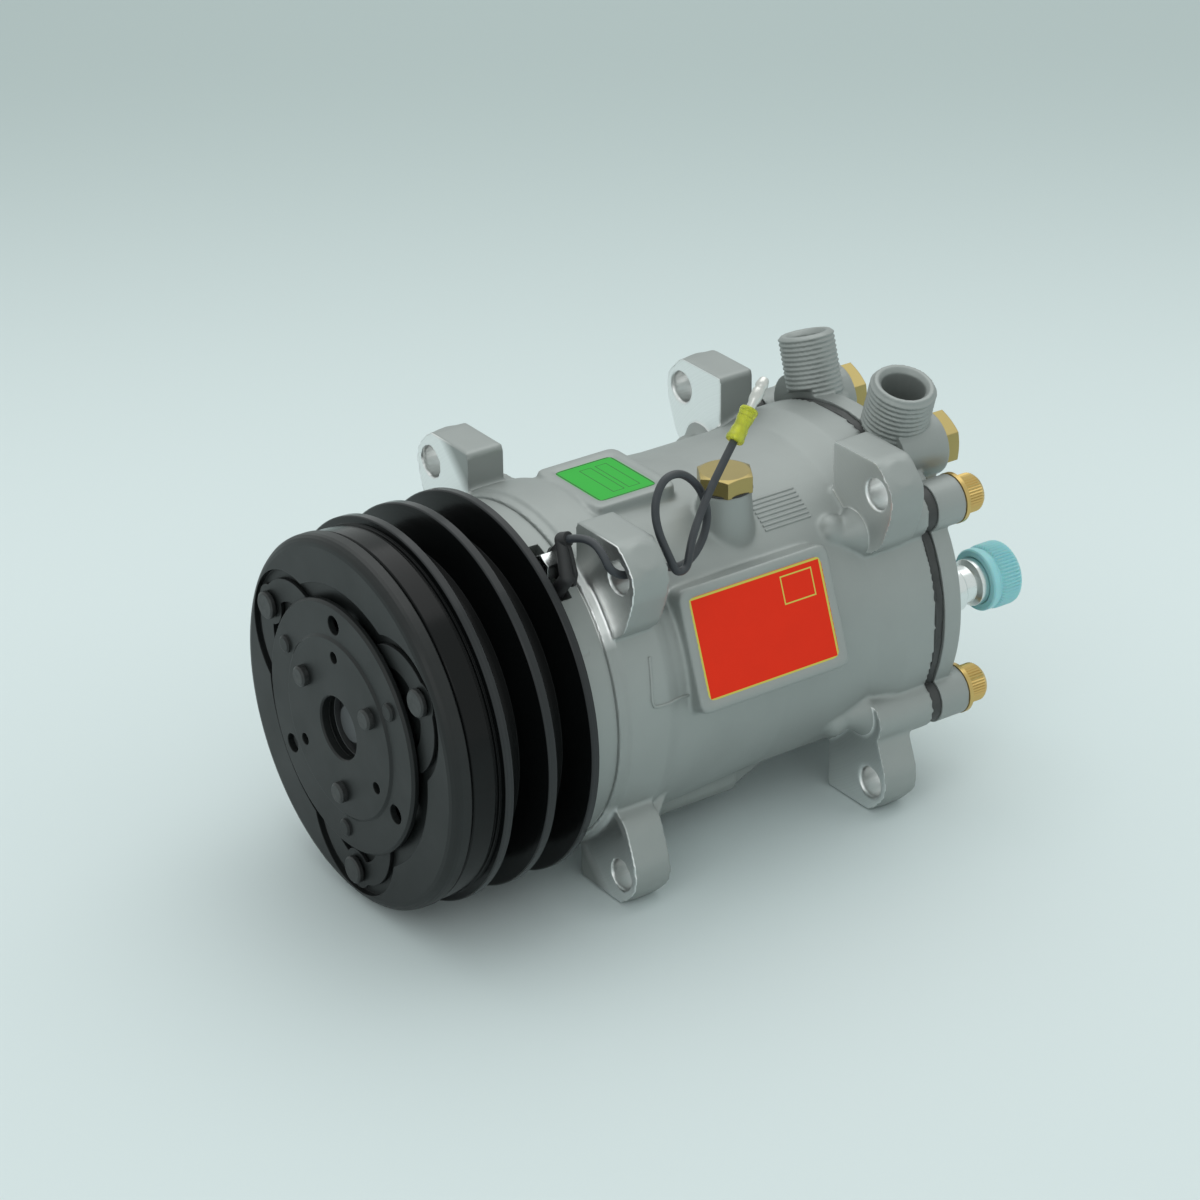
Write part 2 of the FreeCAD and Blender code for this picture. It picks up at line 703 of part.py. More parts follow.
def top_label():
    """Small rectangular label in the top pad."""
    half_width = TOP_PAD_HALF_WIDTH - TOP_PAD_FRAME - LABEL_MARGIN
    half_length = TOP_PAD_LENGTH / 2 - TOP_PAD_FRAME - LABEL_MARGIN
    centre = Vector(0, TOP_PAD_START + TOP_PAD_LENGTH / 2, TOP_PAD_Z - PAD_RECESS)
    face = rounded_face(rectangle(half_width, half_length, 1.0), centre, RIGHT, ALONG)
    return face.extrude(UP * LABEL_THICKNESS)


def oil_filler_plug():
    """Hexagon plug with its flange, screwed into the filler boss."""
    base = Vector(FILLER_X, FILLER_Y, FILLER_TOP)
    head = hexagon_bar(FILLER_ACROSS_FLATS, base, UP, FILLER_HEAD, 1.0)
    stem = Part.makeCylinder(FILLER_PLUG_R, FILLER_PLUG_DEPTH, base - UP * FILLER_PLUG_DEPTH, UP)
    return head.fuse(stem).removeSplitter()


def front_housing():
    """Flanged cover with the nose that carries the pulley bearing and the shaft seal."""
    recess_floor = BLOCK_FRONT - FRONT_RECESS_DEPTH
    coil_groove = coil_snap_rear() - SNAP_WIDTH - SNAP_PLAY
    nose_groove = BEARING_FRONT - SNAP_WIDTH - SNAP_PLAY
    profile = [
        (SHAFT_BEARING_R, recess_floor),
        (FRONT_RECESS_R, recess_floor),
        (FRONT_RECESS_R, BLOCK_FRONT),
        (FRONT_HOUSING_R, BLOCK_FRONT),
        (FRONT_HOUSING_R, HOUSING_FRONT + 0.8),
        (FRONT_HOUSING_R - 0.8, HOUSING_FRONT),
        (COIL_INNER_R, HOUSING_FRONT),
        (COIL_INNER_R, COIL_REAR),
        (NOSE_STEP_R, COIL_REAR),
        (NOSE_STEP_R, coil_snap_rear()),
        (NOSE_STEP_R - SNAP_DEPTH, coil_snap_rear()),
        (NOSE_STEP_R - SNAP_DEPTH, coil_groove),
        (NOSE_STEP_R, coil_groove),
        (NOSE_STEP_R, BEARING_REAR),
        (NOSE_R, BEARING_REAR),
        (NOSE_R, BEARING_FRONT),
        (NOSE_R - SNAP_DEPTH, BEARING_FRONT),
        (NOSE_R - SNAP_DEPTH, nose_groove),
        (NOSE_R, nose_groove),
        (NOSE_R, NOSE_FRONT + 0.6),
        (NOSE_R - 0.6, NOSE_FRONT),
        (SEAL_CAVITY_R, NOSE_FRONT),
        (SEAL_CAVITY_R, seal_floor()),
        (SHAFT_R + 1.0, seal_floor()),
        (SHAFT_R + 1.0, bearing_floor()),
        (SHAFT_BEARING_R, bearing_floor()),
    ]
    body = turned(profile)
    boss = cylinder(CLAMP_BOSS_R, clamp_face(), BLOCK_FRONT, CLAMP_X, CLAMP_Z)
    body = joined([body, boss])
    thread_end = clamp_face() + CLAMP_SCREW_DEPTH
    cuts = [cylinder(CLAMP_SCREW_R + SEAT, HOUSING_FRONT, thread_end, CLAMP_X, CLAMP_Z)]
    reach = FRONT_HOUSING_R + 20
    shelf = sector(reach, CLAMP_SHELF_SPREAD, HOUSING_FRONT - 1, clamp_face(), CLAMP_SHELF_ANGLE)
    cuts.append(shelf.cut(cylinder(CLAMP_SHELF_R, HOUSING_FRONT - 2, clamp_face() + 1)))
    cuts.append(boot(BOOT_R + BOOT_PLAY))
    for x, z in housing_bolt_places():
        cuts.append(cylinder(HOUSING_BOLT_R + SEAT, HOUSING_FRONT - 1, BLOCK_FRONT + 1, x, z))
        cuts.append(cylinder(HOUSING_BOLT_HEAD_R + SEAT, HOUSING_FRONT - 1, housing_bolt_seat(), x, z))
    return body.cut(cuts)


def coil_snap_rear():
    """Y of the rear side of the coil's snap ring."""
    return COIL_REAR - COIL_PLATE


def seal_floor():
    """Y of the seal cavity's floor."""
    return NOSE_FRONT + SEAL_CAVITY_DEPTH


def bearing_floor():
    """Y of the front shaft bearing's shoulder."""
    return BLOCK_FRONT - FRONT_RECESS_DEPTH - SHAFT_BEARING_WIDTH


def clamp_face():
    """Y of the clamp boss's front face."""
    return HOUSING_FRONT + CLAMP_FACE_DEPTH


def front_housing_bolts():
    """Socket screws that hold the front housing."""
    screws = []
    seat = housing_bolt_seat()
    for x, z in housing_bolt_places():
        head = cylinder(HOUSING_BOLT_HEAD_R, seat - HOUSING_BOLT_HEAD, seat, x, z)
        shank = cylinder(HOUSING_BOLT_R, seat, seat + HOUSING_BOLT_LENGTH, x, z)
        socket = hexagon_bar(HOUSING_BOLT_HEAD_R, Vector(x, seat - HOUSING_BOLT_HEAD, z), ALONG, 2.6)
        screws.append(joined([head, shank]).cut(socket))
    return Part.makeCompound(screws)


def snap_ring(inner, outer, start, gap_angle):
    """Open retaining ring about the shaft."""
    ring = tube(inner, outer, start, start + SNAP_WIDTH)
    slot = box(-SNAP_GAP / 2, SNAP_GAP / 2, start - 1, start + SNAP_WIDTH + 1, 0.0, outer + 2)
    slot.rotate(Vector(0, 0, 0), ALONG, 90 - gap_angle)
    return ring.cut(slot)


def pulley():
    """Two-groove steel pulley with the clutch rotor face and the bearing seat."""
    bottom_r = PULLEY_R - GROOVE_DEPTH
    slope = GROOVE_DEPTH * math.tan(math.radians(GROOVE_HALF_ANGLE))
    points = [(CAVITY_R, PULLEY_REAR), (PULLEY_R - 0.8, PULLEY_REAR), (PULLEY_R, PULLEY_REAR - 0.5)]
    for i, centre in enumerate(RIM_CENTRES):
        if i > 0:
            points.append((bottom_r, centre + RIM_TIP / 2 + slope))
            points.append((PULLEY_R - 0.4, centre + RIM_TIP / 2 + 0.1))
            points.append((PULLEY_R, centre + RIM_TIP / 2 - 0.3))
        if i < GROOVE_COUNT:
            points.append((PULLEY_R, centre - RIM_TIP / 2 + 0.3))
            points.append((PULLEY_R - 0.4, centre - RIM_TIP / 2 - 0.1))
            points.append((bottom_r, centre - RIM_TIP / 2 - slope))
    seat_r = BEARING_OUTER_R + SEAT
    lip_y = BEARING_FRONT - BEARING_LIP
    lip_r = BEARING_OUTER_R - 1.8
    groove_start = BEARING_REAR + SNAP_PLAY
    groove_end = groove_start + SNAP_WIDTH + SNAP_PLAY
    groove_r = BEARING_OUTER_R + SNAP_DEPTH
    points += [
        (PULLEY_R, DRUM_REAR + 0.3),
        (PULLEY_R - 0.4, DRUM_REAR),
        (DRUM_R, DRUM_REAR - 0.3),
        (DRUM_R, DRUM_REAR - 0.8),
        (DRUM_R - DRUM_LINE, DRUM_REAR - 1.2),
        (DRUM_R - DRUM_LINE, DRUM_REAR - 2.0),
        (DRUM_R, DRUM_REAR - 2.4),
        (DRUM_R, FRICTION_Y + 0.6),
        (DRUM_R - 0.6, FRICTION_Y),
        (BEARING_OUTER_R + 1.0, FRICTION_Y),
        (BEARING_OUTER_R + 1.0, lip_y),
        (lip_r, lip_y),
        (lip_r, BEARING_FRONT),
        (seat_r, BEARING_FRONT),
        (seat_r, groove_start),
        (groove_r, groove_start),
        (groove_r, groove_end),
        (seat_r, groove_end),
        (seat_r, BEARING_REAR + 4.0),
        (PULLEY_HUB_R, BEARING_REAR + 4.0),
        (PULLEY_HUB_R, FRICTION_Y + FRICTION_WALL),
        (CAVITY_R, FRICTION_Y + FRICTION_WALL),
    ]
    body = turned(points)
    slots = []
    share = 360.0 / ROTOR_SLOTS
    for angle in spokes(ROTOR_SLOTS, 0.0):
        for inner in ROTOR_SLOT_STARTS:
            outer = inner + ROTOR_SLOT_WIDTH
            floor = FRICTION_Y + FRICTION_WALL
            arc = tube(inner, outer, FRICTION_Y - 1, floor + 1)
            wedge = sector(outer + 2, share * ROTOR_SLOT_SHARE, FRICTION_Y - 2, floor + 2, angle)
            slots.append(arc.common(wedge))
    return body.cut(slots)


def sector(radius, degrees, start, end, middle):
    """Pie slice about the shaft, centred on an angle counted from +X toward +Z."""
    piece = Part.makeCylinder(radius, end - start, Vector(0, start, 0), ALONG, degrees)
    centre = piece.CenterOfMass
    now = math.degrees(math.atan2(centre.z, centre.x))
    piece.rotate(Vector(0, 0, 0), ALONG, now - middle)
    return piece


def ball_rows():
    """Y of the bearing's two rows of balls."""
    middle = (BEARING_FRONT + BEARING_REAR) / 2
    return [middle - BEARING_WIDTH / 4, middle + BEARING_WIDTH / 4]


def ball_circle():
    """Radius of the circle through the bearing's balls."""
    return (NOSE_R + BEARING_OUTER_R) / 2


def ball_track():
    """Two ring-shaped grooves that the bearing balls run in."""
    track_r = BEARING_BALL_R + BALL_PLAY
    return [Part.makeTorus(ball_circle(), track_r, Vector(0, y, 0), ALONG) for y in ball_rows()]


def bearing_inner_race():
    """Inner race on the housing nose."""
    race = tube(NOSE_R + SEAT, NOSE_R + BEARING_RACE, BEARING_FRONT, BEARING_REAR)
    return race.cut(ball_track())


def bearing_outer_race():
    """Outer race in the pulley."""
    race = tube(BEARING_OUTER_R - BEARING_RACE, BEARING_OUTER_R, BEARING_FRONT, BEARING_REAR)
    return race.cut(ball_track())


def bearing_seals():
    """Rubber shields at both ends of the bearing, carried by the outer race."""
    inner = NOSE_R + BEARING_RACE + GAP
    outer = BEARING_OUTER_R - BEARING_RACE - SEAT
    front = tube(inner, outer, BEARING_FRONT + 0.3, BEARING_FRONT + 1.1)
    rear = tube(inner, outer, BEARING_REAR - 1.1, BEARING_REAR - 0.3)
    return [front, rear]


def bearing_balls():
    """Two rows of balls, drawn running with the pulley."""
    balls = []
    for y in ball_rows():
        for angle in spokes(BEARING_BALLS, 0.0):
            x, z = at_angle(ball_circle(), angle)
            balls.append(Part.makeSphere(BEARING_BALL_R, Vector(x, y, z)))
    return Part.makeCompound(balls)


def coil_case():
    """Steel channel that holds the winding, with its mounting plate."""
    front = COIL_FRONT
    rear = COIL_REAR - COIL_PLATE
    channel = tube(COIL_INNER_R, COIL_OUTER_R, front, rear)
    trough = tube(COIL_INNER_R + COIL_WALL, COIL_OUTER_R - COIL_WALL, front - 1, rear - COIL_WALL)
    plate = tube(NOSE_STEP_R + SEAT, COIL_OUTER_R, rear, COIL_REAR)
    return joined([channel.cut(trough), plate])


def coil_winding():
    """Potted winding in the channel."""
    rear = COIL_REAR - COIL_PLATE - COIL_WALL
    inner = COIL_INNER_R + COIL_WALL + SEAT
    outer = COIL_OUTER_R - COIL_WALL - SEAT
    return tube(inner, outer, COIL_FRONT + COIL_FRONT_GAP, rear)


def clover(margin, reach_r, disc_r, start, end):
    """Disc with three round lobes over the armature rivets."""
    shapes = [cylinder(disc_r, start, end)]
    for angle in spokes(CLUTCH_ARMS, CLUTCH_RIVET_ANGLE):
        x, z = at_angle(LOBE_CENTRE_R, angle)
        shapes.append(cylinder(reach_r + margin, start, end, x, z))
    return joined(shapes)


def armature_plate():
    """Steel ring that the rotor pulls in, with the three-lobed window for the spring."""
    edge = ARMATURE_EDGE
    ring = turned([
        (ARMATURE_BORE_R, ARMATURE_REAR),
        (ARMATURE_R - 0.6, ARMATURE_REAR),
        (ARMATURE_R, ARMATURE_REAR - 0.6),
        (ARMATURE_R, ARMATURE_FRONT + edge),
        (ARMATURE_R - edge * 0.08, ARMATURE_FRONT + edge * 0.62),
        (ARMATURE_R - edge * 0.3, ARMATURE_FRONT + edge * 0.3),
        (ARMATURE_R - edge * 0.62, ARMATURE_FRONT + edge * 0.09),
        (ARMATURE_R - edge, ARMATURE_FRONT),
        (ARMATURE_BORE_R, ARMATURE_FRONT),
    ])
    window = clover(WINDOW_MARGIN, LOBE_R, WINDOW_R, ARMATURE_FRONT - 1, ARMATURE_REAR - ARMATURE_FLOOR)
    holes = []
    for angle in spokes(CLUTCH_ARMS, CLUTCH_RIVET_ANGLE):
        x, z = at_angle(ARM_RIVET_CIRCLE_R, angle)
        holes.append(cylinder(ARM_RIVET_R + SEAT, ARMATURE_FRONT - 1, ARMATURE_REAR + 1, x, z))
    return ring.cut([window] + holes)


def armature_rivets():
    """Three rivets that tie the armature to the spring arms."""
    rivets = []
    for angle in spokes(CLUTCH_ARMS, CLUTCH_RIVET_ANGLE):
        x, z = at_angle(ARM_RIVET_CIRCLE_R, angle)
        shank = cylinder(ARM_RIVET_R, RIVET_HEAD_REAR, ARMATURE_REAR - 0.2, x, z)
        top = RIVET_HEAD_REAR - RIVET_HEAD_HEIGHT
        head = turned([(0, top), (ARM_RIVET_HEAD_R - 0.6, top), (ARM_RIVET_HEAD_R, top + 0.5),
                       (ARM_RIVET_HEAD_R, RIVET_HEAD_REAR), (0, RIVET_HEAD_REAR)])
        head.translate(Vector(x, 0, z))
        rivets.append(joined([shank, head]))
    return Part.makeCompound(rivets)


def spring_plate():
    """Sheet spring with a round centre and three bowed arms."""
    start = SPRING_FRONT
    end = SPRING_REAR
    body = clover(0.0, LOBE_R, SPRING_DISC_R, start, end)
    cuts = [cylinder(SHAFT_R + 2.6, start - 1, end + 1)]
    pads = []
    for angle in spokes(CLUTCH_ARMS, CLUTCH_RIVET_ANGLE):
        x, z = at_angle(LOBE_CENTRE_R - 1.0, angle)
        slot = cylinder(LOBE_SLOT_R, start - 1, end + 1, x, z)
        cuts.append(slot.cut(cylinder(SPRING_DISC_R, start - 2, end + 2)))
        x, z = at_angle(ARM_RIVET_CIRCLE_R, angle)
        pads.append(cylinder(LOBE_PAD_R, start, end, x, z))
    body = joined([body.cut(cuts)] + pads)
    holes = []
    for angle in spokes(CLUTCH_ARMS, CLUTCH_RIVET_ANGLE):
        x, z = at_angle(ARM_RIVET_CIRCLE_R, angle)
        holes.append(cylinder(ARM_RIVET_R + GAP, start - 1, end + 1, x, z))
        x, z = at_angle(COVER_RIVET_CIRCLE_R, angle)
        holes.append(cylinder(COVER_RIVET_HEAD_R - 1.0 + SEAT, start - 1, end + 1, x, z))
    return body.cut(holes)


def clutch_hub():
    """Hub on the shaft, with the flange behind the spring and the spacer before it."""
    flange_rear = SPRING_REAR + HUB_FLANGE
    tube_rear = hub_rear()
    back = turned([(SHAFT_R + SEAT, tube_rear), (HUB_TUBE_R, tube_rear), (HUB_TUBE_R, flange_rear),
                   (HUB_FLANGE_R, flange_rear), (HUB_FLANGE_R, SPRING_REAR), (COVER_BORE_R, SPRING_REAR),
                   (COVER_BORE_R, nut_rear()), (SHAFT_R + SEAT, nut_rear())])
    keyway = box(SHAFT_R - KEY_SIZE / 2 - SEAT, SHAFT_R + KEY_SIZE / 2 + SEAT, nut_rear() - 1, tube_rear + 1,
                 -KEY_SIZE / 2 - SEAT, KEY_SIZE / 2 + SEAT)
    holes = [cylinder(COVER_RIVET_HEAD_R - 1.0 + SEAT, SPRING_REAR - 1, flange_rear + 1, x, z)
             for x, z in cover_rivet_places()]
    return back.cut([keyway] + holes)


def hub_rear():
    """Y of the hub tube's rear end, inside the seal cavity."""
    return NOSE_FRONT + 4.0


def clutch_spacer():
    """Ring between the spring and the cover."""
    ring = tube(COVER_BORE_R, HUB_FLANGE_R, COVER_REAR, SPRING_FRONT)
    holes = [cylinder(COVER_RIVET_HEAD_R - 1.0 + SEAT, COVER_REAR - 1, SPRING_FRONT + 1, x, z)
             for x, z in cover_rivet_places()]
    return ring.cut(holes)


def nut_rear():
    """Y of the shaft nut's rear face."""
    return SHAFT_FRONT + NUT_HEIGHT + 1.0


def cover_rivet_places():
    """X and Z of the rivets through the cover."""
    return [at_angle(COVER_RIVET_CIRCLE_R, angle) for angle in spokes(CLUTCH_ARMS, CLUTCH_RIVET_ANGLE)]


def clutch_cover():
    """Round pressed cover with a raised centre, bumps and holes."""
    face = COVER_FRONT
    profile = [
        (COVER_BORE_R, COVER_REAR),
        (COVER_R, COVER_REAR),
        (COVER_R, face + 0.8),
        (COVER_R - 0.8, face),
        (COVER_STEP_R + 0.9, face),
        (COVER_STEP_R, face - COVER_STEP),
        (COVER_BORE_R + 0.5, face - COVER_STEP),
        (COVER_BORE_R, face - COVER_STEP + 0.5),
    ]
    shapes = [turned(profile)]
    cuts = []
    for angle in spokes(CLUTCH_ARMS, CLUTCH_RIVET_ANGLE):
        x, z = at_angle(COVER_BUMP_CIRCLE_R, angle)
        top = face - COVER_BUMP_HEIGHT
        bump = turned([(0, top), (COVER_BUMP_R - 0.7, top), (COVER_BUMP_R, top + 0.5),
                       (COVER_BUMP_R, face + 0.2), (0, face + 0.2)])
        bump.translate(Vector(x, 0, z))
        shapes.append(bump)
        x, z = at_angle(COVER_HOLE_CIRCLE_R, angle + 60)
        cuts.append(cylinder(COVER_HOLE_R, face - 3, COVER_REAR + 1, x, z))
        x, z = at_angle(COVER_PIN_CIRCLE_R, angle + 60)
        cuts.append(cylinder(COVER_PIN_R, face - 3, COVER_REAR + 1, x, z))
    for x, z in cover_rivet_places():
        cuts.append(cylinder(COVER_RIVET_HEAD_R - 1.0 + SEAT, face - 3, COVER_REAR + 1, x, z))
    return joined(shapes).cut(cuts)


def cover_rivets():
    """Three rivets through the cover, the spring and the hub flange."""
    rivets = []
    head_rear = COVER_FRONT - COVER_STEP
    top = head_rear - COVER_RIVET_HEAD
    for x, z in cover_rivet_places():
        shank = cylinder(COVER_RIVET_HEAD_R - 1.0, head_rear, SPRING_REAR + HUB_FLANGE, x, z)
        head = turned([(0, top), (COVER_RIVET_HEAD_R - 0.7, top), (COVER_RIVET_HEAD_R, top + 0.6),
                       (COVER_RIVET_HEAD_R, head_rear), (0, head_rear)])
        head.translate(Vector(x, 0, z))
        rivets.append(joined([shank, head]))
    return Part.makeCompound(rivets)


def drive_shaft():
    """Shaft from the nut's thread back into the rotor."""
    end = plane_y(0.0, ROTOR_FACE) - 3.0
    shaft = turned([(0, SHAFT_FRONT), (SHAFT_R - 2.0, SHAFT_FRONT), (SHAFT_R - 1.6, SHAFT_FRONT + 0.6),
                    (SHAFT_R - 1.6, nut_rear()), (SHAFT_R, nut_rear()), (SHAFT_R, end), (0, end)])
    keyway = box(SHAFT_R - KEY_SIZE / 2 - SEAT, SHAFT_R + 3.0, nut_rear() + 0.5, hub_rear(),
                 -KEY_SIZE / 2 - SEAT, KEY_SIZE / 2 + SEAT)
    return shaft.cut(keyway)


def plane_y(z, drop):
    """Y at the shaft's X, at a height z, of the plane that lies a drop before the wobble plate's centre."""
    return PLATE_CENTRE - drop / math.cos(TILT) - z * math.tan(TILT)


def shaft_key():
    """Square key between the shaft and the hub."""
    return box(SHAFT_R - KEY_SIZE / 2, SHAFT_R + KEY_SIZE / 2, nut_rear() + 0.6, hub_rear() - 0.2,
               -KEY_SIZE / 2, KEY_SIZE / 2)


def shaft_nut():
    """Hexagon nut in the hub's bore."""
    nut = hexagon_bar(NUT_ACROSS_FLATS, Vector(0, nut_rear(), 0), Vector(0, -1, 0), NUT_HEIGHT, 0.8)
    return nut.cut(cylinder(SHAFT_R - 1.6 + SEAT, SHAFT_FRONT - 5, nut_rear() + 1))


def cam_rotor():
    """Wedge on the shaft whose slanting face tilts the wobble plate."""
    front = THRUST_REAR
    drum = cylinder(ROTOR_R, front, PLATE_CENTRE + 20)
    half_space = Part.makeCylinder(120, 120, PLATE_POINT - PLATE_NORMAL * ROTOR_FACE, PLATE_NORMAL)
    bore = cylinder(SHAFT_R + SEAT, front - 1, plane_y(0.0, ROTOR_FACE) - 3.0 + SEAT)
    return drum.cut([half_space, bore])


def front_thrust_bearing():
    """Needle thrust bearing between the housing and the rotor."""
    floor = BLOCK_FRONT - FRONT_RECESS_DEPTH
    return tube(SHAFT_BEARING_R + 2.0, ROTOR_R - 6.0, floor, THRUST_REAR - 0.1)


def plate_bearing():
    """Needle thrust bearing under the wobble plate, carried by it."""
    ring = tube(PLATE_BEARING_INNER_R, PLATE_BEARING_OUTER_R, -PLATE_DROP - THRUST_THICKNESS, -PLATE_DROP)
    return placed(ring, PLATE_POINT, PLATE_NORMAL)


def tilted(x, z, along=0.0):
    """Place given in the wobble plate's own plane, in the part's frame."""
    turn = Rotation(ALONG, PLATE_NORMAL)
    return PLATE_POINT + turn.multVec(Vector(x, along, z))


def socket_place(angle):
    """Centre of one rod ball in the tilted plate."""
    x, z = at_angle(SOCKET_CIRCLE_R, angle)
    return tilted(x, z)


def gear_ring(rises, phase):
    """Shallow cone with radial teeth about the Y axis through the origin; it rises or falls outward."""
    slope = math.tan(TILT / 2)
    teeth = []
    width = 2 * math.pi * GEAR_R / GEAR_TEETH * GEAR_TOOTH_SHARE
    inner_width = width * GEAR_INNER_R / GEAR_R
    for k in range(GEAR_TEETH):
        angle = 360.0 / GEAR_TEETH * (k + phase)
        root = tooth_section(GEAR_INNER_R, inner_width, slope, rises)
        tip = tooth_section(GEAR_R, width, slope, rises)
        tooth = Part.makeLoft([root, tip], True, True)
        tooth.rotate(Vector(0, 0, 0), ALONG, -angle)
        teeth.append(tooth)
    return teeth


def tooth_section(radius, width, slope, rises):
    """Trapezoid across one gear tooth at a radius, on the +X side."""
    sign = 1 if rises else -1
    pitch_y = sign * radius * slope
    tip_y = pitch_y - sign * (GEAR_DEPTH / 2 - 0.15)
    root_y = pitch_y + sign * (GEAR_DEPTH / 2 + 0.6)
    tip_half = width / 2 - 0.25 * width
    root_half = width / 2 + 0.2 * width
    corners = [Vector(radius, tip_y, -tip_half), Vector(radius, tip_y, tip_half),
               Vector(radius, root_y, root_half), Vector(radius, root_y, -root_half)]
    return Part.makePolygon(corners + corners[:1])


def gear_back():
    """Height of the fixed gear's back above the wobble plate's centre."""
    return GEAR_R * math.tan(TILT / 2) + GEAR_DEPTH / 2 + GEAR_FLANGE


def fixed_gear():
    """Bevel gear on a neck in the block, which keeps the wobble plate from turning."""
    slope = math.tan(TILT / 2)
    back = gear_back()
    root_in = GEAR_INNER_R * slope + GEAR_DEPTH / 2
    root_out = GEAR_R * slope + GEAR_DEPTH / 2
    seat_y = GUIDE_BALL_R * 0.5
    neck_end = back + GEAR_NECK_LENGTH
    body = turned([(0, seat_y), (GUIDE_BALL_R, seat_y), (GEAR_INNER_R, root_in), (GEAR_R, root_out),
                   (GEAR_R, back), (GEAR_NECK_R, back), (GEAR_NECK_R, neck_end), (0, neck_end)])
    whole = joined([body] + gear_ring(True, 0.0))
    whole = whole.cut(Part.makeSphere(GUIDE_BALL_R + SEAT, Vector(0, 0, 0)))
    whole.translate(PLATE_POINT)
    return whole


def wobble_plate():
    """Nutating plate with five rod sockets, the moving bevel gear and the ball seat."""
    slope = math.tan(TILT / 2)
    recess_r = GEAR_R + 4.0
    root_in = -GEAR_INNER_R * slope - GEAR_DEPTH / 2
    root_out = -GEAR_R * slope - GEAR_DEPTH / 2
    seat_y = -GUIDE_BALL_R * 0.4
    rim = SOCKET_CIRCLE_R + PLATE_MARGIN
    body = turned([(0, -PLATE_DROP), (rim, -PLATE_DROP), (rim, PLATE_RISE - 1.0), (rim - 1.0, PLATE_RISE),
                   (recess_r, PLATE_RISE), (recess_r, root_out), (GEAR_R, root_out), (GEAR_INNER_R, root_in),
                   (GUIDE_BALL_R + 1.2, seat_y), (0, seat_y)])
    whole = joined([body] + gear_ring(False, 0.5))
    cuts = [Part.makeSphere(GUIDE_BALL_R + BALL_PLAY, Vector(0, 0, 0))]
    for angle in spokes(CYLINDERS, FIRST_CYLINDER_ANGLE):
        x, z = at_angle(SOCKET_CIRCLE_R, angle)
        cuts.append(cylinder(SOCKET_R + RUNNING, -ROD_BALL_R - SOCKET_FLOOR - RUNNING, PLATE_RISE + 5, x, z))
        x, z = at_angle(rim + 3.0, angle + 180.0 / CYLINDERS)
        cuts.append(cylinder(12.0, -PLATE_DROP - 1, PLATE_RISE + 1, x, z))
    return placed(whole.cut(cuts), PLATE_POINT, PLATE_NORMAL)


def rod_socket(angle):
    """Cup round one rod ball, running in the wobble plate."""
    x, z = at_angle(SOCKET_CIRCLE_R, angle)
    cup = cylinder(SOCKET_R, -ROD_BALL_R - SOCKET_FLOOR, SOCKET_RISE, 0, 0)
    cover = math.radians(SOCKET_COVER_ANGLE)
    reach = SOCKET_R + 3.0
    mouth = turned([(0, 0), (reach, reach / math.tan(cover)), (reach, reach + 3), (0, reach + 3)])
    cup = cup.cut([Part.makeSphere(ROD_BALL_R + BALL_PLAY, Vector(0, 0, 0)), mouth])
    cup.translate(Vector(x, 0, z))
    return placed(cup, PLATE_POINT, PLATE_NORMAL)


def rod_far_end(angle):
    """Centre of the ball at the piston end of one rod."""
    x, z = at_angle(CYLINDER_CIRCLE_R, angle)
    return Vector(x, socket_place(angle).y + ROD_LENGTH, z)


def piston_rod(angle):
    """Rod with a ball at each end."""
    near = socket_place(angle)
    far = rod_far_end(angle)
    along = far - near
    rod = Part.makeCylinder(ROD_R, along.Length, near, along)
    balls = [Part.makeSphere(ROD_BALL_R, near), Part.makeSphere(ROD_BALL_R, far)]
    return joined([rod] + balls)


def piston(angle):
    """Hollow piston with its ring grooves, a ball seat and an open skirt."""
    centre = rod_far_end(angle)
    skirt = -PISTON_PIN_DEPTH
    crown = PIN_TO_CROWN
    outer = BORE_R - RUNNING
    inner = outer - PISTON_WALL
    groove = outer - RING_WALL - 0.2
    points = [(inner, skirt), (outer - 0.4, skirt), (outer, skirt + 0.4)]
    for drop in RING_DROPS:
        start = crown - drop
        end = start + RING_WIDTH
        points += [(outer, start), (groove, start), (groove, end), (outer, end)]
    points += [(outer, crown - 0.4), (outer - 0.4, crown), (0, crown), (0, crown - PISTON_CROWN),
               (inner, crown - PISTON_CROWN)]
    shell = turned(points)
    seat = cylinder(ROD_BALL_R + 2.6, -ROD_BALL_R * 0.35, crown - PISTON_CROWN + 0.5)
    web = tube(ROD_BALL_R + 2.0, inner + 0.5, 1.5, 4.5)
    body = joined([shell, seat, web])
    body = body.cut(Part.makeSphere(ROD_BALL_R + BALL_PLAY, Vector(0, 0, 0)))
    body.translate(centre)
    return body


def piston_rings(angle):
    """Two piston rings in their grooves."""
    centre = rod_far_end(angle)
    outer = BORE_R - RUNNING / 2
    rings = []
    for drop in RING_DROPS:
        start = PIN_TO_CROWN - drop
        ring = tube(outer - RING_WALL, outer, start + 0.05, start + RING_WIDTH - 0.05)
        ring.translate(centre)
        rings.append(ring)
    return rings


def seal_seat():
    """Ceramic seat pressed into the nose."""
    start = NOSE_FRONT + SEAL_SEAT_DEPTH
    return tube(SHAFT_R + SEAL_SEAT_PLAY, SEAL_CAVITY_R - SEAT, start, start + SEAL_SEAT_WIDTH)


def shaft_seal():
    """Carbon face seal that turns with the shaft."""
    start = NOSE_FRONT + SEAL_SEAT_DEPTH + SEAL_SEAT_WIDTH + 0.2
    return tube(SHAFT_R + SEAT, SHAFT_R + SEAL_WALL, start, start + SEAL_LENGTH)


def front_shaft_bearing():
    """Needle bearing in the front housing."""
    end = BLOCK_FRONT - FRONT_RECESS_DEPTH - 0.5
    return tube(SHAFT_R + RUNNING, SHAFT_BEARING_R - SEAT, bearing_floor(), end)


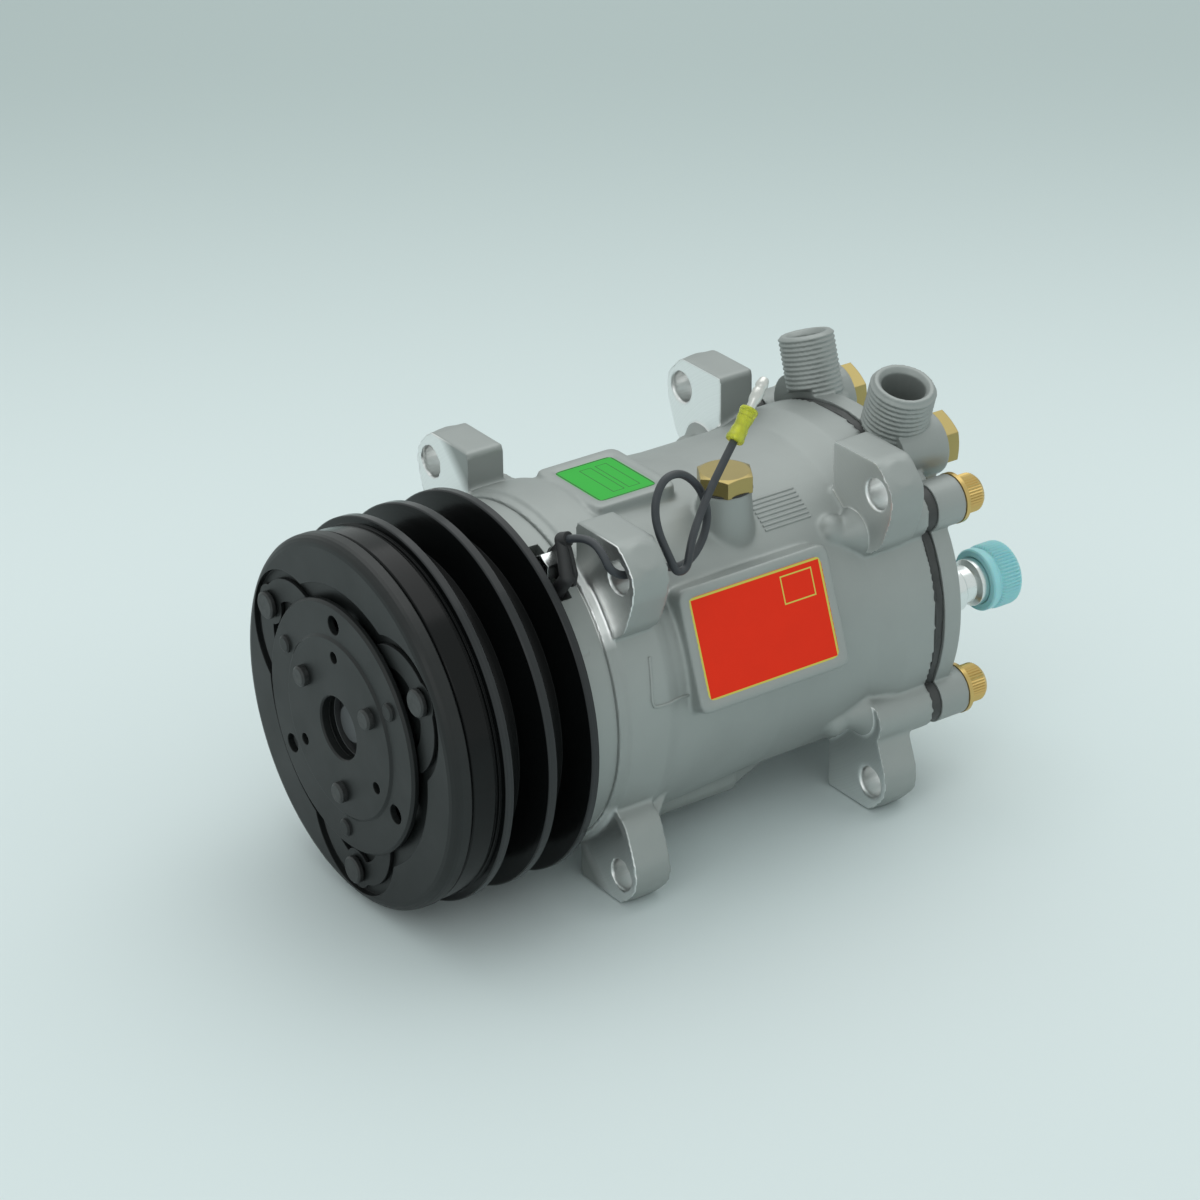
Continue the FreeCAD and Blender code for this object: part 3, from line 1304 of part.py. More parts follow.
def suction_reeds():
    """Spring sheet with a suction tongue over each bore."""
    sheet = cylinder(VALVE_PLATE_R, BLOCK_REAR, BLOCK_REAR + REED_SHEET)
    cuts = []
    for angle in spokes(CYLINDERS, FIRST_CYLINDER_ANGLE):
        x, z = at_angle(CYLINDER_CIRCLE_R + 2.0, angle)
        slot_end = BLOCK_REAR + REED_SHEET + 1
        slot = tube(SUCTION_REED_R, SUCTION_REED_R + REED_CUT, BLOCK_REAR - 1, slot_end, x, z)
        keep = sector(CYLINDER_CIRCLE_R - 4.0, 60.0, BLOCK_REAR - 2, BLOCK_REAR + 3, angle)
        cuts.append(slot.cut(keep))
        x, z = at_angle(discharge_circle(), angle)
        cuts.append(cylinder(DISCHARGE_HOLE_R + 0.4, BLOCK_REAR - 1, slot_end, x, z))
    return sheet.cut(cuts + bolt_drills())


def bolt_drills():
    """Drills for the head bolts through the thin sheets under the head."""
    return [cylinder(BOLT_R + GAP, BLOCK_REAR - 1, HEAD_FRONT + 1, x, z) for x, z in bolt_places()]


def discharge_circle():
    """Radius of the circle through the discharge holes."""
    return CHAMBER_INNER_R - DISCHARGE_HOLE_IN


def valve_plate():
    """Plate with a suction and a discharge hole over each bore."""
    start = BLOCK_REAR + REED_SHEET
    plate = cylinder(VALVE_PLATE_R, start, start + VALVE_PLATE)
    holes = []
    for angle in spokes(CYLINDERS, FIRST_CYLINDER_ANGLE):
        x, z = at_angle(CYLINDER_CIRCLE_R + SUCTION_HOLE_OUT, angle)
        holes.append(cylinder(SUCTION_HOLE_R, start - 1, start + VALVE_PLATE + 1, x, z))
        x, z = at_angle(discharge_circle(), angle)
        holes.append(cylinder(DISCHARGE_HOLE_R, start - 1, start + VALVE_PLATE + 1, x, z))
    holes.append(cylinder(REED_RIVET_R, start - 1, start + VALVE_PLATE + 1))
    return plate.cut(holes + bolt_drills())


def discharge_reeds():
    """Star of discharge tongues with its stops and centre rivet."""
    start = BLOCK_REAR + REED_SHEET + VALVE_PLATE
    top = start + REED_STOP
    reach = discharge_circle() + DISCHARGE_HOLE_R + 0.4
    shapes = [cylinder(REED_HUB_R, start, top)]
    for angle in spokes(CYLINDERS, FIRST_CYLINDER_ANGLE):
        tongue = box(-REED_HALF_WIDTH, REED_HALF_WIDTH, start, top, 0, reach)
        tongue.rotate(Vector(0, 0, 0), ALONG, 90 - angle)
        shapes.append(tongue)
    shapes.append(cylinder(2 * REED_RIVET_R, start, start + REED_RIVET_HEAD))
    shapes.append(cylinder(REED_RIVET_R - SEAT, start - VALVE_PLATE, top))
    return joined(shapes)


def head_gasket():
    """Gasket rings between the valve plate and the head."""
    start = HEAD_FRONT - HEAD_GASKET
    outer = tube(CHAMBER_OUTER_R, VALVE_PLATE_R, start, HEAD_FRONT)
    inner = tube(CHAMBER_INNER_R, CHAMBER_INNER_R + CHAMBER_WALL, start, HEAD_FRONT)
    return Part.makeCompound([outer.cut(bolt_drills()), inner])


def port_axis(side):
    """Direction of one hose port."""
    lean = math.radians(PORT_TILT)
    return Vector(side * math.sin(lean), 0, math.cos(lean))


def port_top(side):
    """Centre of one hose port's end."""
    return Vector(side * PORT_TOP_X, PORT_Y, PORT_TOP_Z)


def port_stub(side, radius, pitch):
    """Threaded stub with its neck down into the head."""
    turns = int(PORT_THREAD_LENGTH / pitch)
    depth = pitch * 0.55
    neck_r = radius + PORT_NECK_EXTRA
    points = [(0, -PORT_LENGTH), (neck_r, -PORT_LENGTH), (neck_r, -PORT_THREAD_LENGTH - 2.0),
              (radius - depth, -PORT_THREAD_LENGTH - 1.0)]
    for k in range(turns):
        y = -PORT_THREAD_LENGTH + pitch * k
        points.append((radius - depth, y))
        points.append((radius, y + pitch * 0.42))
        points.append((radius, y + pitch * 0.58))
    end = -PORT_THREAD_LENGTH + pitch * turns
    points.append((radius - depth, end))
    points.append((radius - depth - 0.2, 0))
    points.append((0, 0))
    return turned_about(points, port_top(side), port_axis(side))


def port_bore(side, radius):
    """Bore of one hose port, with its seat chamfer, down to the chamber."""
    bore_r = radius - PORT_WALL
    mouth_r = bore_r + 1.3
    floor = -PORT_LENGTH + 6.0
    points = [(0, floor), (PORT_PASSAGE_R, floor), (PORT_PASSAGE_R, -PORT_BORE_DEPTH),
              (bore_r, -PORT_BORE_DEPTH), (bore_r, -1.6), (mouth_r, 0), (mouth_r, 2.0), (0, 2.0)]
    return turned_about(points, port_top(side), port_axis(side))


def cylinder_head():
    """Head casting with both hose ports, the chambers and the bolt bosses."""
    dome = HEAD_BACK + HEAD_DOME
    shapes = [turned([(0, HEAD_FRONT), (HEAD_R, HEAD_FRONT), (HEAD_R, HEAD_BACK - 1.2),
                      (HEAD_R - 1.2, HEAD_BACK), (HEAD_DOME_R, HEAD_BACK), (HEAD_DOME_R - 3.0, dome),
                      (0, dome)])]
    for x, z in bolt_places():
        shapes.append(cylinder(HEAD_BOSS_R, HEAD_FRONT, HEAD_BOSS_BACK, x, z))
    for side, radius, pitch in ports():
        shapes.append(port_stub(side, radius, pitch))
        shapes.append(cylinder(PORT_BLOCK_R, HEAD_FRONT, HEAD_FRONT + PORT_BLOCK_LENGTH,
                               side * PORT_BLOCK_X, PORT_BLOCK_Z))
        outline = [(8.0, 20.0), (30.0, 20.0), (33.0, 46.0), (14.0, 52.0)]
        corners = [(side * x, z, 0) for x, z in outline]
        shapes.append(prism(corners, HEAD_FRONT + 1, port_block_back() - 3.0))
    shapes.append(cylinder(SERVICE_BASE_R + 2.5, HEAD_FRONT + 1, service_back(), SERVICE_X, SERVICE_Z))
    head = joined(shapes)
    chamber_floor = HEAD_FRONT + CHAMBER_DEPTH
    cuts = [cylinder(HEAD_R + 2.0, HEAD_FRONT - 20, HEAD_FRONT)]
    cuts.append(cylinder(CHAMBER_INNER_R, HEAD_FRONT - 1, chamber_floor))
    cuts.append(tube(CHAMBER_INNER_R + CHAMBER_WALL, CHAMBER_OUTER_R, HEAD_FRONT - 1, chamber_floor))
    for x, z in bolt_places():
        cuts.append(cylinder(BOLT_R + SEAT, HEAD_FRONT - 1, HEAD_BOSS_BACK + 1, x, z))
    for side, radius, pitch in ports():
        cuts.append(port_bore(side, radius))
        drill_end = port_block_back() - PORT_PLUG_DEPTH - 0.5
        cuts.append(cylinder(PORT_PLUG_R + SEAT, drill_end, port_block_back() + 1, side * PORT_BLOCK_X,
                             PORT_BLOCK_Z))
    seat_r = SERVICE_SEAT_R + SEAT
    cuts.append(cylinder(seat_r, HEAD_FRONT + 2.0, service_back() + 1.5, SERVICE_X, SERVICE_Z))
    return head.cut(cuts)


def ports():
    """Side, thread radius and thread pitch of both hose ports."""
    return [(1, SUCTION_R, SUCTION_PITCH), (-1, DISCHARGE_R, DISCHARGE_PITCH)]


def port_block_back():
    """Y of the rear face of the port blocks."""
    return HEAD_FRONT + PORT_BLOCK_LENGTH


def rear_port_plugs():
    """Brass hexagon plugs behind both hose ports."""
    plugs = []
    for side in (1, -1):
        base = Vector(side * PORT_BLOCK_X, port_block_back(), PORT_BLOCK_Z)
        head = hexagon_bar(PORT_PLUG_ACROSS_FLATS, base, ALONG, PORT_PLUG_HEAD, 1.0)
        stem = cylinder(PORT_PLUG_R, port_block_back() - PORT_PLUG_DEPTH, port_block_back(),
                        side * PORT_BLOCK_X, PORT_BLOCK_Z)
        plugs.append(joined([head, stem]))
    return Part.makeCompound(plugs)


def head_bolts():
    """Socket cap screws through the head."""
    bolts = []
    seat = HEAD_BOSS_BACK + WASHER
    for x, z in bolt_places():
        head = turned([(0, seat), (BOLT_HEAD_R, seat), (BOLT_HEAD_R, seat + BOLT_HEAD - 0.8),
                       (BOLT_HEAD_R - 0.8, seat + BOLT_HEAD), (0, seat + BOLT_HEAD)])
        head.translate(Vector(x, 0, z))
        shank = cylinder(BOLT_R, seat - BOLT_LENGTH, seat, x, z)
        socket = hexagon_bar(BOLT_SOCKET_ACROSS_FLATS, Vector(x, seat + BOLT_HEAD - 4.0, z), ALONG, 5.0)
        bolts.append(joined([head, shank]).cut(socket))
    return Part.makeCompound(bolts)


def head_bolt_washers():
    """Flat washers under the head bolts."""
    return Part.makeCompound([tube(BOLT_R + SEAT, WASHER_R, HEAD_BOSS_BACK, HEAD_BOSS_BACK + WASHER, x, z)
                              for x, z in bolt_places()])


def service_back():
    """Y of the face that the service valve seats on."""
    return HEAD_BACK + SERVICE_PAD


def service_stem():
    """Turned service valve on the rear head."""
    y0 = service_back()
    y1 = y0 + SERVICE_BASE
    y2 = y1 + SERVICE_NECK
    y3 = y2 + SERVICE_SHOULDER
    points = [
        (0, y0 - SERVICE_SEAT),
        (SERVICE_SEAT_R, y0 - SERVICE_SEAT),
        (SERVICE_SEAT_R, y0),
        (SERVICE_BASE_R, y0),
        (SERVICE_BASE_R, y1 - 0.8),
        (SERVICE_BASE_R - 0.8, y1),
        (SERVICE_NECK_R, y1),
        (SERVICE_NECK_R, y2),
        (SERVICE_SHOULDER_R, y2 + 1.2),
        (SERVICE_SHOULDER_R, y3),
        (SERVICE_BORE_R, y3),
        (SERVICE_BORE_R, y3 - SERVICE_BORE),
        (0, y3 - SERVICE_BORE),
    ]
    stem = turned(points)
    stem.translate(Vector(SERVICE_X, 0, SERVICE_Z))
    return stem


def service_cap():
    """Ribbed plastic cap pushed over the service valve."""
    end = service_back() + SERVICE_BASE + SERVICE_NECK + SERVICE_SHOULDER
    start = end - CAP_OVERLAP
    inner = SERVICE_SHOULDER_R + RUNNING
    shell = turned([(0, end + GAP), (inner, end + GAP), (inner, start),
                    (CAP_R - 0.6, start), (CAP_R, start + 0.6), (CAP_R, start + CAP_LENGTH - 1.2),
                    (CAP_R - 1.2, start + CAP_LENGTH), (0, start + CAP_LENGTH)])
    ribs = []
    for angle in spokes(CAP_RIBS, 0.0):
        x, z = at_angle(CAP_R, angle)
        ribs.append(cylinder(CAP_RIB, start + 1.2, start + CAP_LENGTH - 2.0, x, z))
    cap = joined([shell] + ribs)
    cap.translate(Vector(SERVICE_X, 0, SERVICE_Z))
    return cap


def bar(radius, start, end):
    """Round bar between two points, with a ball on its far end."""
    rod = Part.makeCylinder(radius, (end - start).Length, start, end - start)
    return [rod, Part.makeSphere(radius, end)]


def boot(radius):
    """Rubber boot from the coil's plate, up past the clamp, to the lead's start."""
    boot_y = HOUSING_FRONT + BOOT_SETBACK
    foot_x, foot_z = at_angle(BOOT_FOOT_R, BOOT_ANGLE)
    foot = Vector(foot_x, boot_y, foot_z)
    root = Vector(foot_x, COIL_REAR, foot_z)
    bend = boot_bend()
    start = Vector(*LEAD_ROUTE[0])
    along = (Vector(*LEAD_ROUTE[1]) - start).normalize()
    knee = start - along * BOOT_TIP
    pieces = bar(radius, root, foot) + bar(radius, foot, bend) + bar(radius, bend, knee)
    tip = Part.makeCylinder(radius, BOOT_TIP, knee, along)
    return joined(pieces + [tip])


def boot_bend():
    """Place where the boot turns up beside the clamp screw."""
    x, z = at_angle(BOOT_BEND_R, BOOT_ANGLE)
    return Vector(x, HOUSING_FRONT + BOOT_SETBACK + BOOT_RISE, z)


def lead_clamp():
    """Strap under the clamp screw, round the lead's rubber boot."""
    face = clamp_face()
    bend = boot_bend()
    top = Vector(*LEAD_ROUTE[0])
    wide = CLAMP_STRAP_MARGIN
    strap = prism([
        (CLAMP_X - wide, CLAMP_Z - 1.0, 2.0),
        (CLAMP_X - 1.5, CLAMP_Z - wide, 2.0),
        (bend.x + 1.0, bend.z - 3.4, 1.5),
        (bend.x + 2.2, bend.z + 1.5, 2.0),
        (top.x + 1.6, top.z - 1.5, 1.5),
        (top.x - 3.4, top.z - 1.0, 1.5),
        (CLAMP_X - 1.5, CLAMP_Z + wide, 2.0),
    ], face - CLAMP_STRAP, face)
    whole = joined([strap, boot(BOOT_R)])
    return whole.cut(cylinder(CLAMP_SCREW_R + SEAT, face - 4, face + 4, CLAMP_X, CLAMP_Z))


def lead_clamp_screw():
    """Hexagon screw that holds the clamp."""
    seat = clamp_face() - CLAMP_STRAP
    base = Vector(CLAMP_X, seat, CLAMP_Z)
    head = hexagon_bar(CLAMP_SCREW_ACROSS_FLATS, base, ALONG * -1, CLAMP_SCREW_HEAD, 0.6)
    shank = cylinder(CLAMP_SCREW_R, seat, clamp_face() + CLAMP_SCREW_DEPTH - 0.5, CLAMP_X, CLAMP_Z)
    return joined([head, shank])


def lead_path():
    """Straight runs joined by tangent arcs along the lead's route, with the route's length."""
    points = [Vector(*point) for point in LEAD_ROUTE]
    edges = []
    previous = points[0]
    for i in range(1, len(points) - 1):
        back = points[i - 1] - points[i]
        ahead = points[i + 1] - points[i]
        half_turn = (math.pi - back.getAngle(ahead)) / 2
        shorter = min(back.Length, ahead.Length)
        reach = 0.45 * shorter
        radius = reach / math.tan(half_turn)
        back.normalize()
        ahead.normalize()
        start = points[i] + back * reach
        end = points[i] + ahead * reach
        middle = points[i] + (back + ahead).normalize() * (radius / math.cos(half_turn) - radius)
        edges.append(Part.LineSegment(previous, start).toShape())
        edges.append(Part.Arc(start, middle, end).toShape())
        previous = end
        print("lead arc", i, "radius", round(radius, 1), "turn", round(math.degrees(2 * half_turn), 0))
    edges.append(Part.LineSegment(previous, points[-1]).toShape())
    return Part.Wire(edges)


def coil_lead():
    """Insulated lead along its route."""
    path = lead_path()
    start = Vector(*LEAD_ROUTE[0])
    along = (Vector(*LEAD_ROUTE[1]) - start).normalize()
    section = Part.Wire([Part.makeCircle(LEAD_R, start, along)])
    lead = path.makePipeShell([section], True, False)
    expected = math.pi * LEAD_R ** 2 * path.Length
    print("lead length", round(path.Length, 1))
    print("lead volume", round(lead.Volume, 1), "expected", round(expected, 1))
    return lead


def lead_end():
    """End of the lead and the direction that it points."""
    end = Vector(*LEAD_ROUTE[-1])
    along = (end - Vector(*LEAD_ROUTE[-2])).normalize()
    return end, along


def lead_sleeve():
    """Soft yellow sleeve over the crimp."""
    end, along = lead_end()
    points = [(0, 0), (SLEEVE_R - 0.5, 0), (SLEEVE_R, 0.8), (SLEEVE_R, SLEEVE_LENGTH - 0.8),
              (SLEEVE_R - 0.5, SLEEVE_LENGTH), (0, SLEEVE_LENGTH)]
    return turned_about(points, end, along)


def lead_terminal():
    """Bullet terminal out of the sleeve."""
    end, along = lead_end()
    start = end + along * SLEEVE_LENGTH
    points = [(0, 0), (TERMINAL_R - 0.4, 0), (TERMINAL_R - 0.4, 3.0), (TERMINAL_R, 3.4),
              (TERMINAL_R, TERMINAL_LENGTH - 2.0), (TERMINAL_R - 0.7, TERMINAL_LENGTH),
              (1.0, TERMINAL_LENGTH), (1.0, TERMINAL_LENGTH - 4.0), (0, TERMINAL_LENGTH - 4.0)]
    return turned_about(points, start, along)


def coil_snap_ring():
    """Retaining ring in front of the coil's plate."""
    start = coil_snap_rear() - SNAP_WIDTH - SNAP_PLAY / 2
    return snap_ring(NOSE_STEP_R - SNAP_DEPTH + SEAT, NOSE_STEP_R + 2.0, start, 200.0)


def nose_snap_ring():
    """Retaining ring in front of the bearing's inner race."""
    start = BEARING_FRONT - SNAP_WIDTH - SNAP_PLAY / 2
    return snap_ring(NOSE_R - SNAP_DEPTH + SEAT, NOSE_R + 1.6, start, 20.0)


def pulley_snap_ring():
    """Retaining ring behind the bearing's outer race."""
    start = BEARING_REAR + SNAP_PLAY * 1.5
    return snap_ring(BEARING_OUTER_R - 1.6, BEARING_OUTER_R + SNAP_DEPTH - SEAT, start, 120.0)


def build():
    """Writes every piece of the compressor."""
    os.makedirs("parts", exist_ok=True)
    write("cylinder_block", cylinder_block())
    write("front_housing", front_housing())
    write("front_housing_bolts", front_housing_bolts())
    write("cylinder_head", cylinder_head())
    write("valve_plate", valve_plate())
    write("valve_reeds", Part.makeCompound([suction_reeds(), discharge_reeds()]))
    write("head_gasket", head_gasket())
    write("head_bolts", head_bolts())
    write("head_bolt_washers", head_bolt_washers())
    write("rear_port_plugs", rear_port_plugs())
    write("oil_filler_plug", oil_filler_plug())
    write("service_stem", service_stem())
    write("service_cap", service_cap())
    write("side_label", side_label())
    write("top_label", top_label())
    write("pulley", pulley())
    write("pulley_snap_ring", pulley_snap_ring())
    write("bearing_inner_race", bearing_inner_race())
    write("bearing_outer_race", Part.makeCompound([bearing_outer_race()] + bearing_seals()))
    write("bearing_balls", bearing_balls())
    write("nose_snap_rings", Part.makeCompound([nose_snap_ring(), coil_snap_ring()]))
    write("coil_case", coil_case())
    write("coil_winding", coil_winding())
    write("lead_clamp", lead_clamp())
    write("lead_clamp_screw", lead_clamp_screw())
    write("coil_lead", coil_lead())
    write("lead_sleeve", lead_sleeve())
    write("lead_terminal", lead_terminal())
    write("armature_plate", armature_plate())
    write("armature_rivets", armature_rivets())
    write("spring_plate", spring_plate())
    write("clutch_hub", clutch_hub())
    write("clutch_spacer", clutch_spacer())
    write("clutch_cover", clutch_cover())
    write("cover_rivets", cover_rivets())
    write("drive_shaft", drive_shaft())
    write("shaft_key", shaft_key())
    write("shaft_nut", shaft_nut())
    write("cam_rotor", cam_rotor())
    write("shaft_seal", shaft_seal())
    write("seal_seat", seal_seat())
    write("front_bearings", Part.makeCompound([front_shaft_bearing(), front_thrust_bearing()]))
    write("plate_bearing", plate_bearing())
    write("wobble_plate", wobble_plate())
    write("fixed_gear", Part.makeCompound([fixed_gear(), Part.makeSphere(GUIDE_BALL_R, PLATE_POINT)]))
    for k, angle in enumerate(spokes(CYLINDERS, FIRST_CYLINDER_ANGLE)):
        write("rod_socket_%d" % (k + 1), rod_socket(angle))
        write("piston_rod_%d" % (k + 1), piston_rod(angle))
    for k, angle in enumerate(spokes(CYLINDERS, FIRST_CYLINDER_ANGLE)):
        write("piston_%d" % (k + 1), Part.makeCompound([piston(angle)] + piston_rings(angle)))


build()
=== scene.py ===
"""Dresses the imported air-conditioning compressor: castings, clutch, lead, fittings and the studio.

The CAD solids stay where they are. Each gets its finish here, softer castings and finer fittings take the
places of the plain ones, and the camera and lights are set round them.
"""

import json
import logging
import math
from dataclasses import dataclass, field
from enum import Enum
from typing import Callable, Optional, Sequence, Union

import bmesh
import bpy
from mathutils import Matrix, Vector

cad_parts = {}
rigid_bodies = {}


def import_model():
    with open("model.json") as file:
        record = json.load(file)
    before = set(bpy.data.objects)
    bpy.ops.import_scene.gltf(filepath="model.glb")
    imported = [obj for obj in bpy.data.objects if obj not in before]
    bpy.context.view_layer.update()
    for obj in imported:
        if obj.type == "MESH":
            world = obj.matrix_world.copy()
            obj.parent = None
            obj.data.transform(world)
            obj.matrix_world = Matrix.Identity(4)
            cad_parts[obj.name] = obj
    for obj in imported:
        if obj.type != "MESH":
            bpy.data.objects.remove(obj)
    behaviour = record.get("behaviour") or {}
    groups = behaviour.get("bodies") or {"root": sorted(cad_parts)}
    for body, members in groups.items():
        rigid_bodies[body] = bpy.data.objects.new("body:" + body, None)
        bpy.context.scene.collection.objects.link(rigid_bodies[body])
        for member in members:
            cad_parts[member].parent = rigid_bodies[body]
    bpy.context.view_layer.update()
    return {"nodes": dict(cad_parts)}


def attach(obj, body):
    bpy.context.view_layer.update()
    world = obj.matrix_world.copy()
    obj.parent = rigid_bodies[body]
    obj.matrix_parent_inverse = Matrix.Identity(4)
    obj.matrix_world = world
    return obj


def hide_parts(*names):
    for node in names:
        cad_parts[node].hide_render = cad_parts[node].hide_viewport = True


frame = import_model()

MM = 0.001
log = logging.getLogger("compressor")

Colour = tuple[float, float, float]
Value = Union[float, Sequence[float], bpy.types.NodeSocket]
Point = tuple[float, float, float]


class Body(Enum):
    """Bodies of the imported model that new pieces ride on."""

    HOUSING = "housing"
    SHAFT = "shaft"
    ARMATURE = "armature"
    CAP = "service_cap"


class Slot(Enum):
    """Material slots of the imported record."""

    CAST = "cast_aluminium"
    COAT = "black_coat"
    YELLOW_ZINC = "yellow_zinc"
    BRASS = "brass"
    CAP = "cap_blue"
    LEAD = "lead_insulation"
    SLEEVE = "sleeve_yellow"
    TERMINAL = "terminal_tin"
    SEAL = "seal_black"


# Looks that every finish shares
BEVEL_SAMPLES = 6
DUST_COLOUR = (0.55, 0.57, 0.57)
DUST_PATCHES = 220.0
WEAR_PATCHES = 420.0
COAT_ROUGHNESS = 0.2
BUMP_DEPTH = 0.1 * MM
SQUARE_ON = 0.75

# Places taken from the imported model's own sizes, in millimetres
EAR_X = 52.0
EAR_HOLE_R = 5.2
REAR_EAR_Y = 99.5
BLOCK_FRONT = -3.5
BLOCK_REAR = 121.5
HEAD_FRONT = 125.5
BARREL_R = 54.0
FLOOR_Z = -62.9
SIDE_PAD_ANGLE = math.radians(20.0)
HEAD_BOLT_ANGLES = (40.0, 140.0, 212.0, 328.0)
HEAD_BOLT_CIRCLE_R = 57.5
LOW_BOLT_R = 53.8
EAR_INNER_R = 58.0
HOLE_BORDER = 1.2
FACE_REACH = 0.4
JOINT_REACH = 0.3
SWELLING_R = 5.6
SWELLINGS = ((37.8, 92.5, 35.6), (42.3, 91.5, -30.2), (-37.8, 92.5, 35.6), (-42.3, 91.5, -30.2))


def head_bolt_places() -> list[tuple[float, float]]:
    """Gives X and Z of every head bolt, in millimetres."""
    turns = [math.radians(angle) for angle in HEAD_BOLT_ANGLES]
    spots = [(HEAD_BOLT_CIRCLE_R * math.cos(turn), HEAD_BOLT_CIRCLE_R * math.sin(turn)) for turn in turns]
    return spots + [(0.0, -LOW_BOLT_R)]


class Wiring:
    """Adds nodes to one shader tree and joins them."""

    def __init__(self, tree: bpy.types.NodeTree) -> None:
        """Keeps the tree to work on.

        Args:
            tree: the material's or group's node tree.
        """
        self.tree = tree

    def node(self, kind: str, **settings: object) -> bpy.types.Node:
        """Adds one node.

        Args:
            kind: the node's type name.
            settings: attributes to set on it.

        Returns:
            The new node.
        """
        made = self.tree.nodes.new(kind)
        for key, value in settings.items():
            setattr(made, key, value)
        return made

    def join(self, value: Value, target: bpy.types.NodeSocket) -> None:
        """Links a socket, or writes a plain value, into an input."""
        if isinstance(value, bpy.types.NodeSocket):
            self.tree.links.new(value, target)
        else:
            target.default_value = value

    def maths(self, operation: str, *values: Value, clamp: bool = False) -> bpy.types.NodeSocket:
        """Does one sum.

        Args:
            operation: the Math node's operation.
            values: its inputs, in order.
            clamp: whether the result is kept from 0 to 1.

        Returns:
            The result's socket.
        """
        made = self.node("ShaderNodeMath", operation=operation, use_clamp=clamp)
        for value, target in zip(values, made.inputs):
            self.join(value, target)
        return made.outputs[0]

    def vector(self, operation: str, *values: Value) -> bpy.types.Node:
        """Does one sum on vectors and returns its node."""
        made = self.node("ShaderNodeVectorMath", operation=operation)
        for value, target in zip(values, made.inputs):
            self.join(value, target)
        return made

    def mix(self, share: Value, low: Value, high: Value) -> bpy.types.NodeSocket:
        """Mixes two colours.

        Args:
            share: 0 for the first colour and 1 for the second.
            low: the first colour.
            high: the second colour.

        Returns:
            The mixed colour's socket.
        """
        made = self.node("ShaderNodeMix", data_type="RGBA")
        for value, index in ((share, 0), (low, 6), (high, 7)):
            self.join((*value, 1.0) if isinstance(value, tuple) else value, made.inputs[index])
        return made.outputs[2]

    def between(self, share: Value, low: Value, high: Value) -> bpy.types.NodeSocket:
        """Mixes two numbers by a share and returns the result's socket."""
        made = self.node("ShaderNodeMix", data_type="FLOAT")
        for value, index in ((share, 0), (low, 2), (high, 3)):
            self.join(value, made.inputs[index])
        return made.outputs[0]

    def parts(self, vector: Value) -> list[bpy.types.NodeSocket]:
        """Splits a vector into its X, Y and Z sockets."""
        made = self.node("ShaderNodeSeparateXYZ")
        self.join(vector, made.inputs[0])
        return list(made.outputs)

    def noise(self, vector: Value, scale: Value, detail: float = 2.0) -> bpy.types.NodeSocket:
        """Adds a noise texture and returns its value's socket."""
        made = self.node("ShaderNodeTexNoise")
        self.join(vector, made.inputs["Vector"])
        self.join(scale, made.inputs["Scale"])
        made.inputs["Detail"].default_value = detail
        return made.outputs["Fac"]

    def use(self, group: bpy.types.NodeTree, **values: Value) -> bpy.types.Node:
        """Places a node group.

        Args:
            group: the group's tree.
            values: its inputs, by name, with underscores for spaces.

        Returns:
            The group's node.
        """
        made = self.node("ShaderNodeGroup", node_tree=group)
        for key, value in values.items():
            self.join(value, made.inputs[key.replace("_", " ")])
        return made


class Group:
    """A shader node group with named inputs and outputs."""

    def __init__(self, name: str, inputs: dict[str, object], outputs: dict[str, str]) -> None:
        """Makes the empty group.

        Args:
            name: the group's name.
            inputs: name and default of each input; a tuple makes a vector.
            outputs: name and socket type of each output.
        """
        self.tree = bpy.data.node_groups.new(name, "ShaderNodeTree")
        for key, value in inputs.items():
            kind = "NodeSocketVector" if isinstance(value, tuple) else "NodeSocketFloat"
            socket = self.tree.interface.new_socket(key, in_out="INPUT", socket_type=kind)
            socket.default_value = value
        for key, kind in outputs.items():
            self.tree.interface.new_socket(key, in_out="OUTPUT", socket_type=kind)
        self.wires = Wiring(self.tree)
        self.given = self.wires.node("NodeGroupInput").outputs
        self.result = self.wires.node("NodeGroupOutput").inputs

    def put(self, key: str, value: Value) -> None:
        """Joins a value to one of the group's outputs."""
        self.wires.join(value, self.result[key])


FLOAT = "NodeSocketFloat"
VECTOR = "NodeSocketVector"
ORIGIN = (0.0, 0.0, 0.0)
ALONG_SHAFT = (0.0, 1.0, 0.0)


